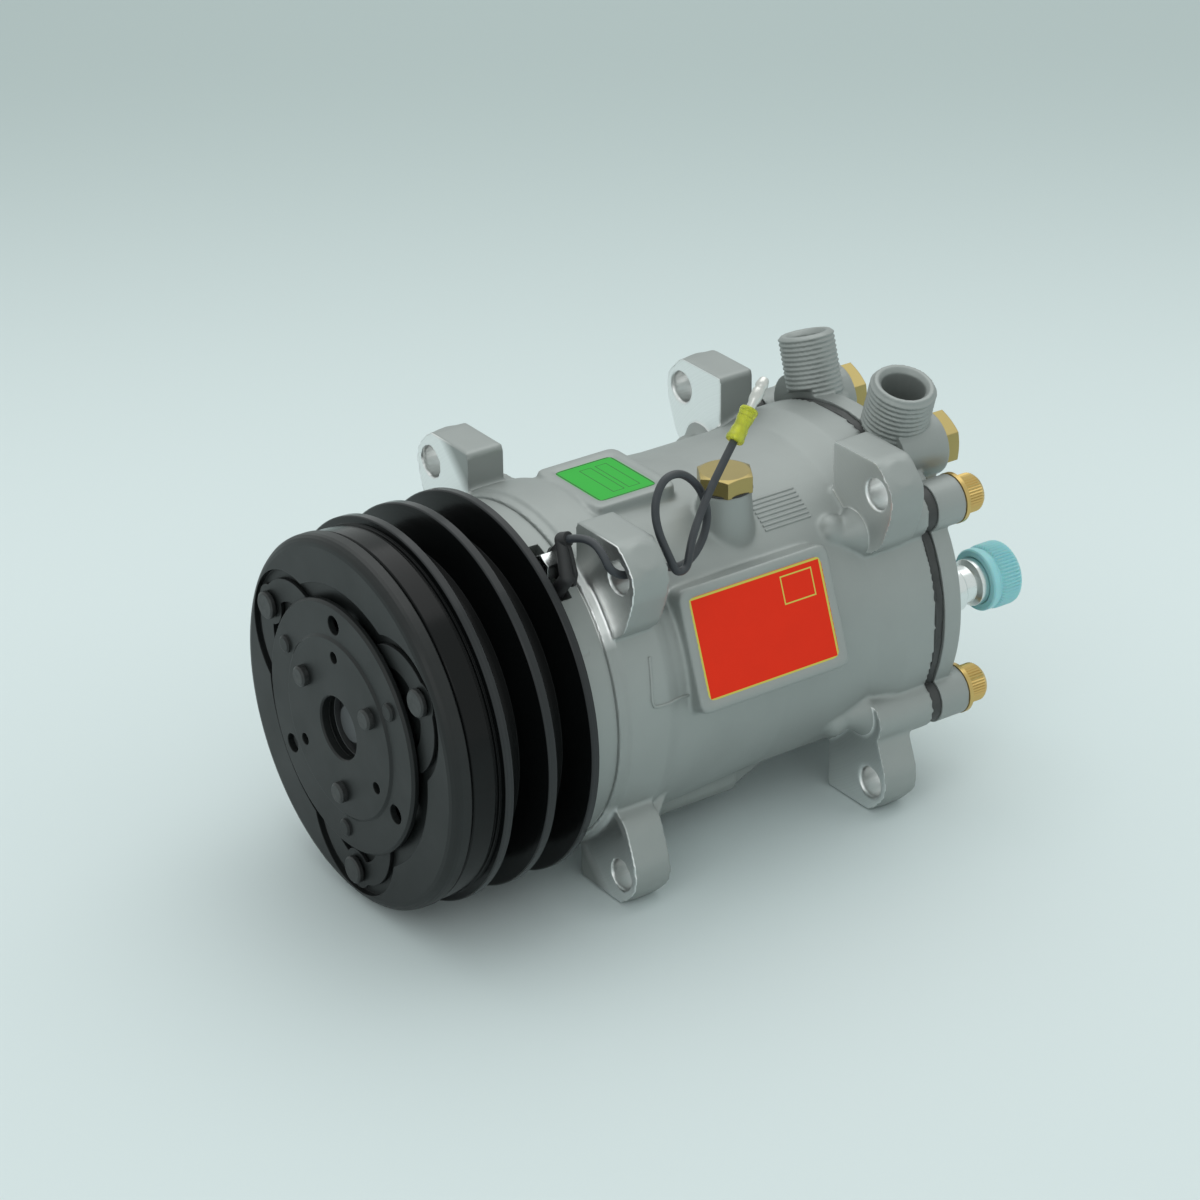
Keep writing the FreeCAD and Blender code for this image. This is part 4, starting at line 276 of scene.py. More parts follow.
class Effects:
    """The node groups that several finishes share, each built once."""

    def __init__(self) -> None:
        """Builds every group."""
        self.edge = self.edge_break()
        self.grain = self.surface_grain()
        self.marks = self.tool_marks()
        self.dust = self.settled_dust()
        self.band = self.soft_band()

    def edge_break(self) -> bpy.types.NodeTree:
        """Finds edges and rounds them a little."""
        group = Group("edge_break", {"Radius": 0.3 * MM, "Gain": 3.0}, {"Mask": FLOAT, "Normal": VECTOR})
        wires = group.wires
        bevel = wires.node("ShaderNodeBevel", samples=BEVEL_SAMPLES)
        wires.join(group.given["Radius"], bevel.inputs["Radius"])
        flat = wires.node("ShaderNodeNewGeometry").outputs["Normal"]
        match = wires.vector("DOT_PRODUCT", bevel.outputs[0], flat).outputs["Value"]
        turned = wires.maths("SUBTRACT", 1.0, match)
        group.put("Mask", wires.maths("MULTIPLY", turned, group.given["Gain"], clamp=True))
        group.put("Normal", bevel.outputs[0])
        return group.tree

    def surface_grain(self) -> bpy.types.NodeTree:
        """Fine tooth and broad mottling of a cast, blasted or coated face."""
        group = Group("surface_grain", {"Vector": ORIGIN, "Fine": 1800.0, "Broad": 60.0},
                      {"Shade": FLOAT, "Height": FLOAT})
        wires = group.wires
        fine = wires.noise(group.given["Vector"], group.given["Fine"], 3.0)
        broad = wires.noise(group.given["Vector"], group.given["Broad"], 4.0)
        group.put("Shade", broad)
        group.put("Height", wires.maths("ADD", fine, wires.maths("MULTIPLY", broad, 0.3)))
        return group.tree

    def tool_marks(self) -> bpy.types.NodeTree:
        """Lines that a lathe leaves: rings on a face, and threads of light round a drum."""
        group = Group("tool_marks", {"Vector": ORIGIN, "Lines": 2500.0},
                      {"Facing": FLOAT, "Turning": FLOAT, "Radius": FLOAT, "Along": FLOAT})
        wires = group.wires
        x, y, z = wires.parts(group.given["Vector"])
        radius = wires.maths("SQRT", wires.maths("ADD", wires.maths("MULTIPLY", x, x),
                                                 wires.maths("MULTIPLY", z, z)))
        for key, distance in (("Facing", radius), ("Turning", y)):
            lines = wires.node("ShaderNodeTexNoise", noise_dimensions="1D")
            wires.join(wires.maths("MULTIPLY", distance, group.given["Lines"]), lines.inputs["W"])
            lines.inputs["Scale"].default_value = 1.0
            lines.inputs["Detail"].default_value = 3.0
            group.put(key, lines.outputs["Fac"])
        group.put("Radius", radius)
        group.put("Along", y)
        return group.tree

    def settled_dust(self) -> bpy.types.NodeTree:
        """Thin pale film on faces that look up."""
        group = Group("settled_dust", {"Vector": ORIGIN, "Amount": 0.1}, {"Mask": FLOAT})
        wires = group.wires
        normal = wires.node("ShaderNodeNewGeometry").outputs["Normal"]
        up = wires.maths("MAXIMUM", wires.parts(normal)[2], 0.0)
        patches = wires.noise(group.given["Vector"], DUST_PATCHES, 5.0)
        film = wires.maths("MULTIPLY", up, patches)
        group.put("Mask", wires.maths("MULTIPLY", film, group.given["Amount"], clamp=True))
        return group.tree

    def soft_band(self) -> bpy.types.NodeTree:
        """One inside a band of a value, falling to nothing over a soft width."""
        group = Group("soft_band", {"Value": 0.0, "Centre": 0.0, "Half": MM, "Soft": 0.1 * MM},
                      {"Mask": FLOAT})
        wires = group.wires
        given = group.given
        away = wires.maths("ABSOLUTE", wires.maths("SUBTRACT", given["Value"], given["Centre"]))
        inside = wires.maths("DIVIDE", wires.maths("SUBTRACT", given["Half"], away), given["Soft"])
        group.put("Mask", wires.maths("ADD", inside, 0.5, clamp=True))
        return group.tree


@dataclass
class Layers:
    """Sockets or values that a finish hands to its shader."""

    colour: Value
    roughness: Value
    metallic: Value
    height: Value


@dataclass(frozen=True)
class Finish:
    """A plain moulded, plated or rubber finish; other finishes build on it."""

    name: str
    colour: Colour
    roughness: float
    metallic: float = 0.0
    mottle: float = 0.12
    fine: float = 1800.0
    broad: float = 60.0
    bump: float = 0.15
    edge_radius: float = 0.3 * MM
    edge_colour: Optional[Colour] = None
    edge_gain: float = 2.5
    dust: float = 0.05
    coat: float = 0.0
    specular: float = 0.5
    transmission: float = 0.0
    subsurface: float = 0.0

    def layers(self, wires: Wiring, effects: Effects, place: Value) -> Layers:
        """Gives the finish's colour, roughness, metal share and height.

        Args:
            wires: the material's wiring.
            effects: the shared groups.
            place: the Object coordinates.

        Returns:
            The layers before edges and dust.
        """
        grain = wires.use(effects.grain, Vector=place, Fine=self.fine, Broad=self.broad)
        dark = tuple(c * (1.0 - self.mottle) for c in self.colour)
        light = tuple(min(c * (1.0 + self.mottle), 1.0) for c in self.colour)
        colour = wires.mix(grain.outputs["Shade"], dark, light)
        spread = self.mottle * 0.5
        rough = wires.between(grain.outputs["Shade"], max(self.roughness - spread, 0.02),
                              min(self.roughness + spread, 1.0))
        return Layers(colour, rough, self.metallic, grain.outputs["Height"])

    def material(self, effects: Effects) -> bpy.types.Material:
        """Builds the material, or returns it if it is there.

        Args:
            effects: the shared groups.

        Returns:
            The material.
        """
        found = bpy.data.materials.get(self.name)
        if found is not None:
            return found
        made = bpy.data.materials.new(self.name)
        made.use_nodes = True
        made.node_tree.nodes.clear()
        wires = Wiring(made.node_tree)
        place = wires.node("ShaderNodeTexCoord").outputs["Object"]
        shader = wires.node("ShaderNodeBsdfPrincipled")
        out = wires.node("ShaderNodeOutputMaterial")
        layers = self.layers(wires, effects, place)
        edge = wires.use(effects.edge, Radius=self.edge_radius, Gain=self.edge_gain)
        colour = layers.colour
        if self.edge_colour is not None:
            patches = wires.noise(place, WEAR_PATCHES, 3.0)
            edge_wear_and_tip_highlight = wires.maths("MULTIPLY", edge.outputs["Mask"], patches, clamp=True)
            colour = wires.mix(edge_wear_and_tip_highlight, colour, self.edge_colour)
        if self.dust > 0:
            film = wires.use(effects.dust, Vector=place, Amount=self.dust)
            colour = wires.mix(film.outputs["Mask"], colour, DUST_COLOUR)
        bump = wires.node("ShaderNodeBump")
        bump.inputs["Strength"].default_value = self.bump
        bump.inputs["Distance"].default_value = BUMP_DEPTH
        wires.join(layers.height, bump.inputs["Height"])
        wires.join(edge.outputs["Normal"], bump.inputs["Normal"])
        wires.join(colour, shader.inputs["Base Color"])
        wires.join(layers.roughness, shader.inputs["Roughness"])
        wires.join(layers.metallic, shader.inputs["Metallic"])
        wires.join(bump.outputs[0], shader.inputs["Normal"])
        shader.inputs["Coat Weight"].default_value = self.coat
        shader.inputs["Coat Roughness"].default_value = COAT_ROUGHNESS
        shader.inputs["Specular IOR Level"].default_value = self.specular
        shader.inputs["Transmission Weight"].default_value = self.transmission
        shader.inputs["Subsurface Weight"].default_value = self.subsurface
        shader.inputs["Subsurface Scale"].default_value = MM
        wires.join(shader.outputs[0], out.inputs["Surface"])
        return made


@dataclass(frozen=True)
class BlastedCasting(Finish):
    """Bead-blasted cast aluminium with bright machined faces."""

    machined: Colour = (0.90, 0.91, 0.90)
    machined_roughness: float = 0.34
    lip_reach: float = 19.0
    lip_fade: float = 8.0
    lip: tuple[float, float] = (BLOCK_FRONT - 0.3, 0.35)
    face: float = REAR_EAR_Y
    face_half: float = 0.35
    hole_rim: float = 0.7
    darker: float = 0.86

    def layers(self, wires: Wiring, effects: Effects, place: Value) -> Layers:
        """Adds the machined faces, strips and ear holes to the blasted skin."""
        skin = super().layers(wires, effects, place)
        marks = wires.use(effects.marks, Vector=place, Lines=3200.0)
        start, end = self.lip
        lip = wires.use(effects.band, Value=marks.outputs["Along"], Centre=(start + end) / 2 * MM,
                        Half=(end - start) / 2 * MM)
        plane = wires.use(effects.band, Value=marks.outputs["Along"], Centre=self.face * MM,
                          Half=self.face_half * MM)
        normal = wires.node("ShaderNodeNewGeometry").outputs["Normal"]
        square = wires.maths("GREATER_THAN", wires.maths("ABSOLUTE", wires.parts(normal)[1]), SQUARE_ON)
        faced = wires.maths("MULTIPLY", plane.outputs["Mask"], square)
        x, _, z = wires.parts(place)
        lean = wires.maths("SUBTRACT", wires.maths("ABSOLUTE", x), wires.maths("ABSOLUTE", z))
        near_ear = wires.use(effects.band, Value=lean, Centre=0.0, Half=self.lip_reach * MM,
                             Soft=self.lip_fade * MM)
        strip = wires.maths("MULTIPLY", lip.outputs["Mask"], near_ear.outputs["Mask"])
        aside = [wires.maths("SUBTRACT", wires.maths("ABSOLUTE", c), EAR_X * MM) for c in (x, z)]
        reach = wires.maths("SQRT", wires.maths("ADD", wires.maths("MULTIPLY", aside[0], aside[0]),
                                                wires.maths("MULTIPLY", aside[1], aside[1])))
        hole = wires.use(effects.band, Value=reach, Centre=0.0, Half=(EAR_HOLE_R + self.hole_rim) * MM)
        bright = wires.maths("MAXIMUM", strip, wires.maths("MAXIMUM", faced, hole.outputs["Mask"]))
        low = tuple(c * self.darker for c in self.machined)
        shine = wires.mix(marks.outputs["Facing"], low, self.machined)
        colour = wires.mix(bright, skin.colour, shine)
        rough = wires.between(bright, skin.roughness, self.machined_roughness)
        metallic = wires.between(bright, self.metallic, 1.0)
        height = wires.between(bright, skin.height, marks.outputs["Facing"])
        return Layers(colour, rough, metallic, height)


@dataclass(frozen=True)
class TurnedCoat(Finish):
    """Black coat over turned steel: fine rings show through, and painted highlights lighten the rim's tips."""

    tip_radius: float = 62.5
    # Paler grey painted on the rim tips as a highlight.
    tip_highlight_colour: Colour = (0.045, 0.048, 0.05)
    tip_half: float = 0.35
    tip_soft: float = 0.2
    lines: float = 1500.0

    def layers(self, wires: Wiring, effects: Effects, place: Value) -> Layers:
        """Adds turning lines, and painted highlights on the rim tips, to the coat."""
        skin = super().layers(wires, effects, place)
        marks = wires.use(effects.marks, Vector=place, Lines=self.lines)
        tips = wires.use(effects.band, Value=marks.outputs["Radius"], Centre=self.tip_radius * MM,
                         Half=self.tip_half * MM, Soft=self.tip_soft * MM)
        both = wires.maths("ADD", marks.outputs["Turning"], marks.outputs["Facing"])
        lines = wires.maths("MULTIPLY", both, 0.5)
        # Painted highlight: the rim tips are mixed towards a paler grey, broken up by the turning lines.
        edge_wear_and_tip_highlight = wires.maths("MULTIPLY", tips.outputs["Mask"], wires.maths("ADD", lines, 0.2), clamp=True)
        colour = wires.mix(edge_wear_and_tip_highlight, skin.colour, self.tip_highlight_colour)
        rough = wires.between(lines, max(self.roughness - 0.1, 0.05), self.roughness + 0.1)
        height = wires.maths("ADD", wires.maths("MULTIPLY", skin.height, 0.3), lines)
        return Layers(colour, rough, self.metallic, height)


@dataclass(frozen=True)
class TurnedMetal(Finish):
    """Plated or bare turned metal with fine tool marks."""

    lines: float = 2500.0

    def layers(self, wires: Wiring, effects: Effects, place: Value) -> Layers:
        """Adds tool marks to the plain metal."""
        skin = super().layers(wires, effects, place)
        marks = wires.use(effects.marks, Vector=place, Lines=self.lines)
        height = wires.maths("ADD", wires.maths("MULTIPLY", skin.height, 0.5), marks.outputs["Turning"])
        return Layers(skin.colour, skin.roughness, skin.metallic, height)


@dataclass(frozen=True)
class PrintedLabel(Finish):
    """Satin label film with a printed border and plain ruled boxes."""

    across: Point = (1.0, 0.0, 0.0)
    half_across: float = 13.3
    half_along: float = 11.3
    middle: float = 32.0
    border: float = 0.5
    line_width: float = 0.35
    line_soft: float = 0.06
    ink: Colour = (0.02, 0.02, 0.02)
    boxes: tuple[tuple[float, float, float, float], ...] = ()

    def frame_mask(self, wires: Wiring, effects: Effects, across: Value, along: Value,
                   box: tuple[float, float, float, float], width: float) -> bpy.types.NodeSocket:
        """Draws one box's outline.

        Args:
            wires: the material's wiring.
            effects: the shared groups.
            across: distance across the label.
            along: distance along the label.
            box: middle across, middle along, and half sizes, in millimetres.
            width: the line's width in millimetres.

        Returns:
            The outline's mask.
        """
        masks = []
        for grow in (0.0, -width):
            sides = [wires.use(effects.band, Value=value, Centre=centre * MM, Half=(half + grow) * MM,
                               Soft=self.line_soft * MM).outputs["Mask"]
                     for value, centre, half in ((across, box[0], box[2]), (along, box[1], box[3]))]
            masks.append(wires.maths("MULTIPLY", *sides))
        return wires.maths("SUBTRACT", *masks, clamp=True)

    def layers(self, wires: Wiring, effects: Effects, place: Value) -> Layers:
        """Adds the border and boxes to the film."""
        skin = super().layers(wires, effects, place)
        across = wires.vector("DOT_PRODUCT", place, self.across).outputs["Value"]
        along = wires.parts(place)[1]
        edge = (0.0, self.middle, self.half_across - self.border, self.half_along - self.border)
        printed = self.frame_mask(wires, effects, across, along, edge, self.line_width)
        for box in self.boxes:
            drawn = self.frame_mask(wires, effects, across, along, box, self.line_width * 0.6)
            printed = wires.maths("MAXIMUM", printed, drawn)
        return Layers(wires.mix(printed, skin.colour, self.ink), skin.roughness, skin.metallic, skin.height)


CAST = BlastedCasting("blasted_casting", (0.335, 0.358, 0.347), 0.5, 0.55, mottle=0.1, fine=2600.0,
                      broad=45.0, bump=0.35, edge_radius=0.5 * MM, edge_colour=(0.56, 0.59, 0.575), dust=0.06)
COAT = Finish("black_satin_coat", (0.008, 0.0095, 0.0095), 0.42, mottle=0.2, fine=1500.0, broad=80.0,
              bump=0.12, edge_radius=0.45 * MM, edge_colour=(0.035, 0.038, 0.04), edge_gain=1.2, dust=0.02,
              specular=0.36)
RIVET = Finish("struck_rivet_coat", (0.03, 0.032, 0.032), 0.42, 0.2, mottle=0.6, fine=700.0, broad=500.0,
               bump=0.5, edge_radius=0.4 * MM, edge_colour=(0.07, 0.073, 0.075), dust=0.02)
PULLEY = TurnedCoat("turned_black_pulley", (0.003, 0.0035, 0.0036), 0.2, 0.0, mottle=0.2, bump=0.08,
                    edge_radius=0.25 * MM, edge_colour=(0.035, 0.038, 0.04), edge_gain=1.0, dust=0.0, specular=0.2)
BRASS = TurnedMetal("milled_brass", (0.40, 0.315, 0.125), 0.3, 1.0, mottle=0.1, bump=0.1,
                    edge_radius=0.35 * MM, edge_colour=(0.70, 0.57, 0.29), dust=0.02)
YELLOW_ZINC = TurnedMetal("yellow_zinc", (0.55, 0.46, 0.24), 0.32, 1.0, mottle=0.22, broad=240.0, bump=0.12,
                          edge_radius=0.25 * MM, edge_colour=(0.75, 0.68, 0.42), dust=0.03)
ZINC = TurnedMetal("bright_zinc", (0.78, 0.81, 0.80), 0.24, 1.0, mottle=0.06, bump=0.1, edge_radius=0.3 * MM,
                   edge_colour=(0.9, 0.9, 0.9), dust=0.02)
STEEL = TurnedMetal("ground_steel", (0.45, 0.45, 0.44), 0.3, 1.0, bump=0.1)
SPRING = TurnedMetal("blue_spring_steel", (0.30, 0.32, 0.36), 0.28, 1.0, bump=0.08)
BARE_ALUMINIUM = TurnedMetal("turned_aluminium", (0.68, 0.69, 0.69), 0.3, 1.0, bump=0.1)
BRONZE = TurnedMetal("sintered_bronze", (0.48, 0.30, 0.15), 0.4, 1.0, bump=0.15)
COIL = Finish("phosphated_steel", (0.12, 0.125, 0.13), 0.5, 0.7, bump=0.15)
WINDING = Finish("potted_winding", (0.16, 0.07, 0.03), 0.35, 0.0, mottle=0.3, broad=300.0, bump=0.3)
SEAL = Finish("seal_rubber", (0.018, 0.018, 0.019), 0.6, 0.0, mottle=0.3, bump=0.2, dust=0.08)
CERAMIC = Finish("white_ceramic", (0.75, 0.74, 0.7), 0.3, 0.0, mottle=0.03, bump=0.05)
CAP_BLUE = Finish("pale_blue_cap", (0.32, 0.68, 0.72), 0.38, mottle=0.05, fine=900.0, broad=90.0, bump=0.06,
                  edge_radius=0.35 * MM, edge_colour=(0.42, 0.72, 0.75), dust=0.04, subsurface=0.25)
JACKET = Finish("lead_jacket", (0.030, 0.034, 0.040), 0.45, mottle=0.2, fine=900.0, broad=160.0, bump=0.1,
                dust=0.1, specular=0.45)
SLEEVE = Finish("clear_yellow_sleeve", (0.82, 0.86, 0.05), 0.22, mottle=0.06, fine=500.0, broad=300.0,
                bump=0.1, dust=0.0, transmission=0.7)
TIN = TurnedMetal("tinned_terminal", (0.66, 0.66, 0.63), 0.3, 1.0, mottle=0.12, broad=500.0, bump=0.12)
SEALANT = Finish("joint_sealant", (0.035, 0.037, 0.036), 0.5, mottle=0.4, fine=900.0, broad=400.0,
                 bump=0.4, dust=0.06)
SIDE_ACROSS = (-math.sin(SIDE_PAD_ANGLE), 0.0, math.cos(SIDE_PAD_ANGLE))
LABEL_RED = PrintedLabel("red_label_film", (0.80, 0.024, 0.002), 0.45, mottle=0.04, broad=120.0, bump=0.05,
                         dust=0.0, specular=0.2, across=SIDE_ACROSS, half_across=16.8, half_along=25.8,
                         middle=53.0, border=0.25, line_width=0.75, ink=(0.62, 0.56, 0.10),
                         boxes=((9.6, 68.4, 4.6, 6.2),))
LABEL_GREEN = PrintedLabel("green_label_film", (0.025, 0.44, 0.04), 0.45, mottle=0.05, broad=120.0,
                           bump=0.05, dust=0.0, specular=0.2, border=0.6,
                           boxes=((0.0, 36.6, 9.4, 2.2), (0.0, 30.6, 9.4, 2.2)))

NODE_FINISHES: dict[str, Finish] = {
    "front_housing": CAST, "front_housing_bolts": ZINC, "valve_plate": STEEL, "valve_reeds": SPRING,
    "head_gasket": SEAL, "head_bolt_washers": YELLOW_ZINC, "rear_port_plugs": BRASS, "oil_filler_plug": BRASS,
    "service_stem": ZINC, "side_label": LABEL_RED, "top_label": LABEL_GREEN, "bearing_inner_race": STEEL,
    "nose_snap_rings": SPRING, "coil_case": COIL, "coil_winding": WINDING, "lead_clamp": SEAL,
    "lead_clamp_screw": ZINC, "seal_seat": CERAMIC, "front_bearings": STEEL, "fixed_gear": STEEL,
    "pulley": PULLEY, "pulley_snap_ring": SPRING, "bearing_outer_race": STEEL, "bearing_balls": STEEL,
    "drive_shaft": COIL, "shaft_key": STEEL, "shaft_nut": COAT, "clutch_hub": COIL, "clutch_spacer": COAT,
    "clutch_cover": COAT, "cover_rivets": RIVET, "spring_plate": COAT, "cam_rotor": STEEL, "shaft_seal": SEAL,
    "armature_plate": COAT, "armature_rivets": RIVET, "wobble_plate": BARE_ALUMINIUM, "plate_bearing": STEEL,
    "cylinder_block": CAST, "cylinder_head": CAST, "head_bolts": YELLOW_ZINC, "service_cap": CAP_BLUE,
    "coil_lead": JACKET, "lead_sleeve": SLEEVE, "lead_terminal": TIN,
}
for number in range(1, 6):
    NODE_FINISHES[f"rod_socket_{number}"] = BRONZE
    NODE_FINISHES[f"piston_rod_{number}"] = STEEL
    NODE_FINISHES[f"piston_{number}"] = BARE_ALUMINIUM


class Bench:
    """Modelling steps that every sub-assembly uses."""

    def __init__(self) -> None:
        """Builds the shared shader groups."""
        self.effects = Effects()

    def pick(self, piece: bpy.types.Object) -> None:
        """Selects one object alone and makes it active."""
        if bpy.context.mode != "OBJECT":
            bpy.ops.object.mode_set(mode="OBJECT")
        bpy.ops.object.select_all(action="DESELECT")
        piece.select_set(True)
        bpy.context.view_layer.objects.active = piece

    def settle(self, piece: bpy.types.Object) -> None:
        """Moves an object's place into its mesh."""
        self.pick(piece)
        bpy.ops.object.transform_apply(location=True, rotation=True, scale=True)

    def paint(self, piece: bpy.types.Object, finish: Finish) -> None:
        """Gives one finish to a whole piece."""
        material = finish.material(self.effects)
        slots = piece.data.materials
        if len(slots) == 0:
            slots.append(material)
        for index in range(len(slots)):
            slots[index] = material

    def hand_over(self, piece: bpy.types.Object, body: Body, finish: Finish,
                  stands_for: Sequence[str] = ()) -> bpy.types.Object:
        """Finishes one piece: its place, its body and its looks.

        Args:
            piece: the object.
            body: the body that it rides on.
            finish: its finish.
            stands_for: CAD nodes that it replaces.

        Returns:
            The same object.
        """
        self.paint(piece, finish)
        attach(piece, body.value)
        if stands_for:
            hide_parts(*stands_for)
        log.info("%s rides on %s", piece.name, body.value)
        return piece

    def copy_node(self, node: str, name: str) -> bpy.types.Object:
        """Copies a CAD node's mesh into a free object.

        Args:
            node: the CAD node.
            name: the new piece's name.

        Returns:
            The copy, with its loose triangles merged.
        """
        mesh = frame["nodes"][node].data.copy()
        mesh.name = name
        piece = bpy.data.objects.new(name, mesh)
        bpy.context.scene.collection.objects.link(piece)
        self.pick(piece)
        bpy.ops.object.mode_set(mode="EDIT")
        bpy.ops.mesh.select_all(action="SELECT")
        bpy.ops.mesh.customdata_custom_splitnormals_clear()
        bpy.ops.mesh.remove_doubles(threshold=1e-6)
        bpy.ops.object.mode_set(mode="OBJECT")
        return piece

    def modify(self, piece: bpy.types.Object, kind: str, **settings: object) -> None:
        """Adds a modifier and applies it at once."""
        self.pick(piece)
        modifier = piece.modifiers.new(kind.lower(), kind)
        for key, value in settings.items():
            setattr(modifier, key, value)
        bpy.ops.object.modifier_apply(modifier=modifier.name)

    def join(self, pieces: Sequence[bpy.types.Object], name: str) -> bpy.types.Object:
        """Joins several objects into the first, under a name."""
        self.pick(pieces[0])
        for piece in pieces[1:]:
            piece.select_set(True)
        bpy.ops.object.join()
        pieces[0].name = name
        pieces[0].data.name = name
        return pieces[0]

    def rod(self, name: str, radius: float, base: Point, axis: Point, length: float,
            sides: int = 48) -> bpy.types.Object:
        """Adds a round bar.

        Args:
            name: the object's name.
            radius: its radius in millimetres.
            base: the middle of its first end, in millimetres.
            axis: its direction.
            length: its length in millimetres.
            sides: how many sides it has.

        Returns:
            The bar, with its place in its mesh.
        """
        along = Vector(axis).normalized()
        middle = Vector(base) + along * (length / 2)
        bpy.ops.object.select_all(action="DESELECT")
        bpy.ops.mesh.primitive_cylinder_add(vertices=sides, radius=radius * MM, depth=length * MM,
                                            location=middle * MM,
                                            rotation=along.to_track_quat("Z", "Y").to_euler())
        piece = bpy.context.active_object
        piece.name = name
        piece.data.name = name
        self.settle(piece)
        return piece

    def turned(self, name: str, profile: Sequence[tuple[float, float]], base: Point, axis: Point,
               steps: int = 64) -> bpy.types.Object:
        """Spins a profile round an axis.

        Args:
            name: the object's name.
            profile: radius and height pairs in millimetres, from the axis out and back to it.
            base: the profile's zero height, in millimetres.
            axis: the direction of rising height.
            steps: how many steps the spin takes.

        Returns:
            The closed turned piece.
        """
        mesh = bpy.data.meshes.new(name)
        corners = [(radius * MM, 0.0, height * MM) for radius, height in profile]
        mesh.from_pydata(corners, [(i, i + 1) for i in range(len(corners) - 1)], [])
        piece = bpy.data.objects.new(name, mesh)
        bpy.context.scene.collection.objects.link(piece)
        self.modify(piece, "SCREW", axis="Z", angle=math.tau, steps=steps, render_steps=steps,
                    use_merge_vertices=True, merge_threshold=1e-6)
        bpy.ops.object.mode_set(mode="EDIT")
        bpy.ops.mesh.select_all(action="SELECT")
        bpy.ops.mesh.remove_doubles(threshold=1e-6)
        bpy.ops.mesh.normals_make_consistent(inside=False)
        bpy.ops.object.mode_set(mode="OBJECT")
        turn = Vector(axis).to_track_quat("Z", "Y").to_matrix().to_4x4()
        piece.data.transform(Matrix.Translation(Vector(base) * MM) @ turn)
        return piece

    def line(self, name: str, places: Sequence[Point], radius: float, kind: str = "POLY",
             rounds: int = 3) -> bpy.types.Object:
        """Draws a round line through places, as a curve.

        Args:
            name: the object's name.
            places: the places, in millimetres.
            radius: half the line's width in millimetres.
            kind: the spline's type.
            rounds: how finely its section is rounded.

        Returns:
            The curve's object.
        """
        curve = bpy.data.curves.new(name, "CURVE")
        curve.dimensions = "3D"
        curve.bevel_depth = radius * MM
        curve.bevel_resolution = rounds
        curve.use_fill_caps = True
        spline = curve.splines.new(kind)
        spline.points.add(len(places) - 1)
        for point, place in zip(spline.points, places):
            point.co = (*(Vector(place) * MM), 1.0)
        piece = bpy.data.objects.new(name, curve)
        bpy.context.scene.collection.objects.link(piece)
        return piece

    def smooth(self, piece: bpy.types.Object, degrees: float = 35.0) -> None:
        """Shades a piece smooth, with edges kept over an angle."""
        self.pick(piece)
        bpy.ops.object.shade_smooth_by_angle(angle=math.radians(degrees))


@dataclass
class Plug:
    """A bar along the shaft's direction that fills hidden hollows before remeshing."""

    radius: float
    start: float
    end: float


@dataclass
class SoftCasting:
    """A casting rebuilt from its CAD solid with the fillets that the mould and blasting leave."""

    node: str
    name: str
    voxel: float
    passes: int
    keep_share: float
    plugs: list[Plug]
    is_crisp: Callable[[Vector], bool]
    extras: Callable[[Bench], list[bpy.types.Object]] = field(default=lambda bench: [])

    def build(self, bench: Bench) -> bpy.types.Object:
        """Builds the casting.

        Args:
            bench: the modelling steps.

        Returns:
            The casting, which stands for its CAD node.
        """
        body = bench.copy_node(self.node, self.name)
        added = [bench.rod("plug", plug.radius, (0.0, plug.start, 0.0), ALONG_SHAFT,
                           plug.end - plug.start, 96) for plug in self.plugs]
        body = bench.join([body, *added, *self.extras(bench)], self.name)
        bench.modify(body, "REMESH", mode="VOXEL", voxel_size=self.voxel * MM, adaptivity=0.0)
        self.keep_outside(bench, body)
        soft = body.vertex_groups.new(name="soft")
        moved = [v.index for v in body.data.vertices if not self.is_crisp(v.co / MM)]
        soft.add(moved, 1.0, "REPLACE")
        bench.modify(body, "SMOOTH", factor=0.5, iterations=self.passes, vertex_group="soft")
        bench.modify(body, "DECIMATE", ratio=self.keep_share)
        bench.smooth(body, 50.0)
        log.info("%s has %d faces", self.name, len(body.data.polygons))
        return bench.hand_over(body, Body.HOUSING, CAST, [self.node])

    def keep_outside(self, bench: Bench, body: bpy.types.Object) -> None:
        """Deletes shells that are shut inside the casting."""
        bench.pick(body)
        bpy.ops.object.mode_set(mode="EDIT")
        bpy.ops.mesh.select_all(action="DESELECT")
        cage = bmesh.from_edit_mesh(body.data)
        outermost = max(cage.verts, key=lambda vertex: vertex.co.x)
        outermost.select = True
        cage.select_flush_mode()
        bmesh.update_edit_mesh(body.data)
        bpy.ops.mesh.select_linked()
        bpy.ops.mesh.select_all(action="INVERT")
        bpy.ops.mesh.delete(type="VERT")
        bpy.ops.object.mode_set(mode="OBJECT")


def block_is_crisp(place: Vector) -> bool:
    """Says whether a point of the block lies on a machined face, given in millimetres."""
    radius = math.hypot(place.x, place.z)
    hole = math.hypot(abs(place.x) - EAR_X, abs(place.z) - EAR_X) < EAR_HOLE_R + HOLE_BORDER
    flat = any(abs(place.y - plane) < FACE_REACH for plane in (BLOCK_FRONT, BLOCK_REAR, 0.0))
    rear_ear = abs(place.y - REAR_EAR_Y) < FACE_REACH and radius > EAR_INNER_R
    return hole or flat or rear_ear


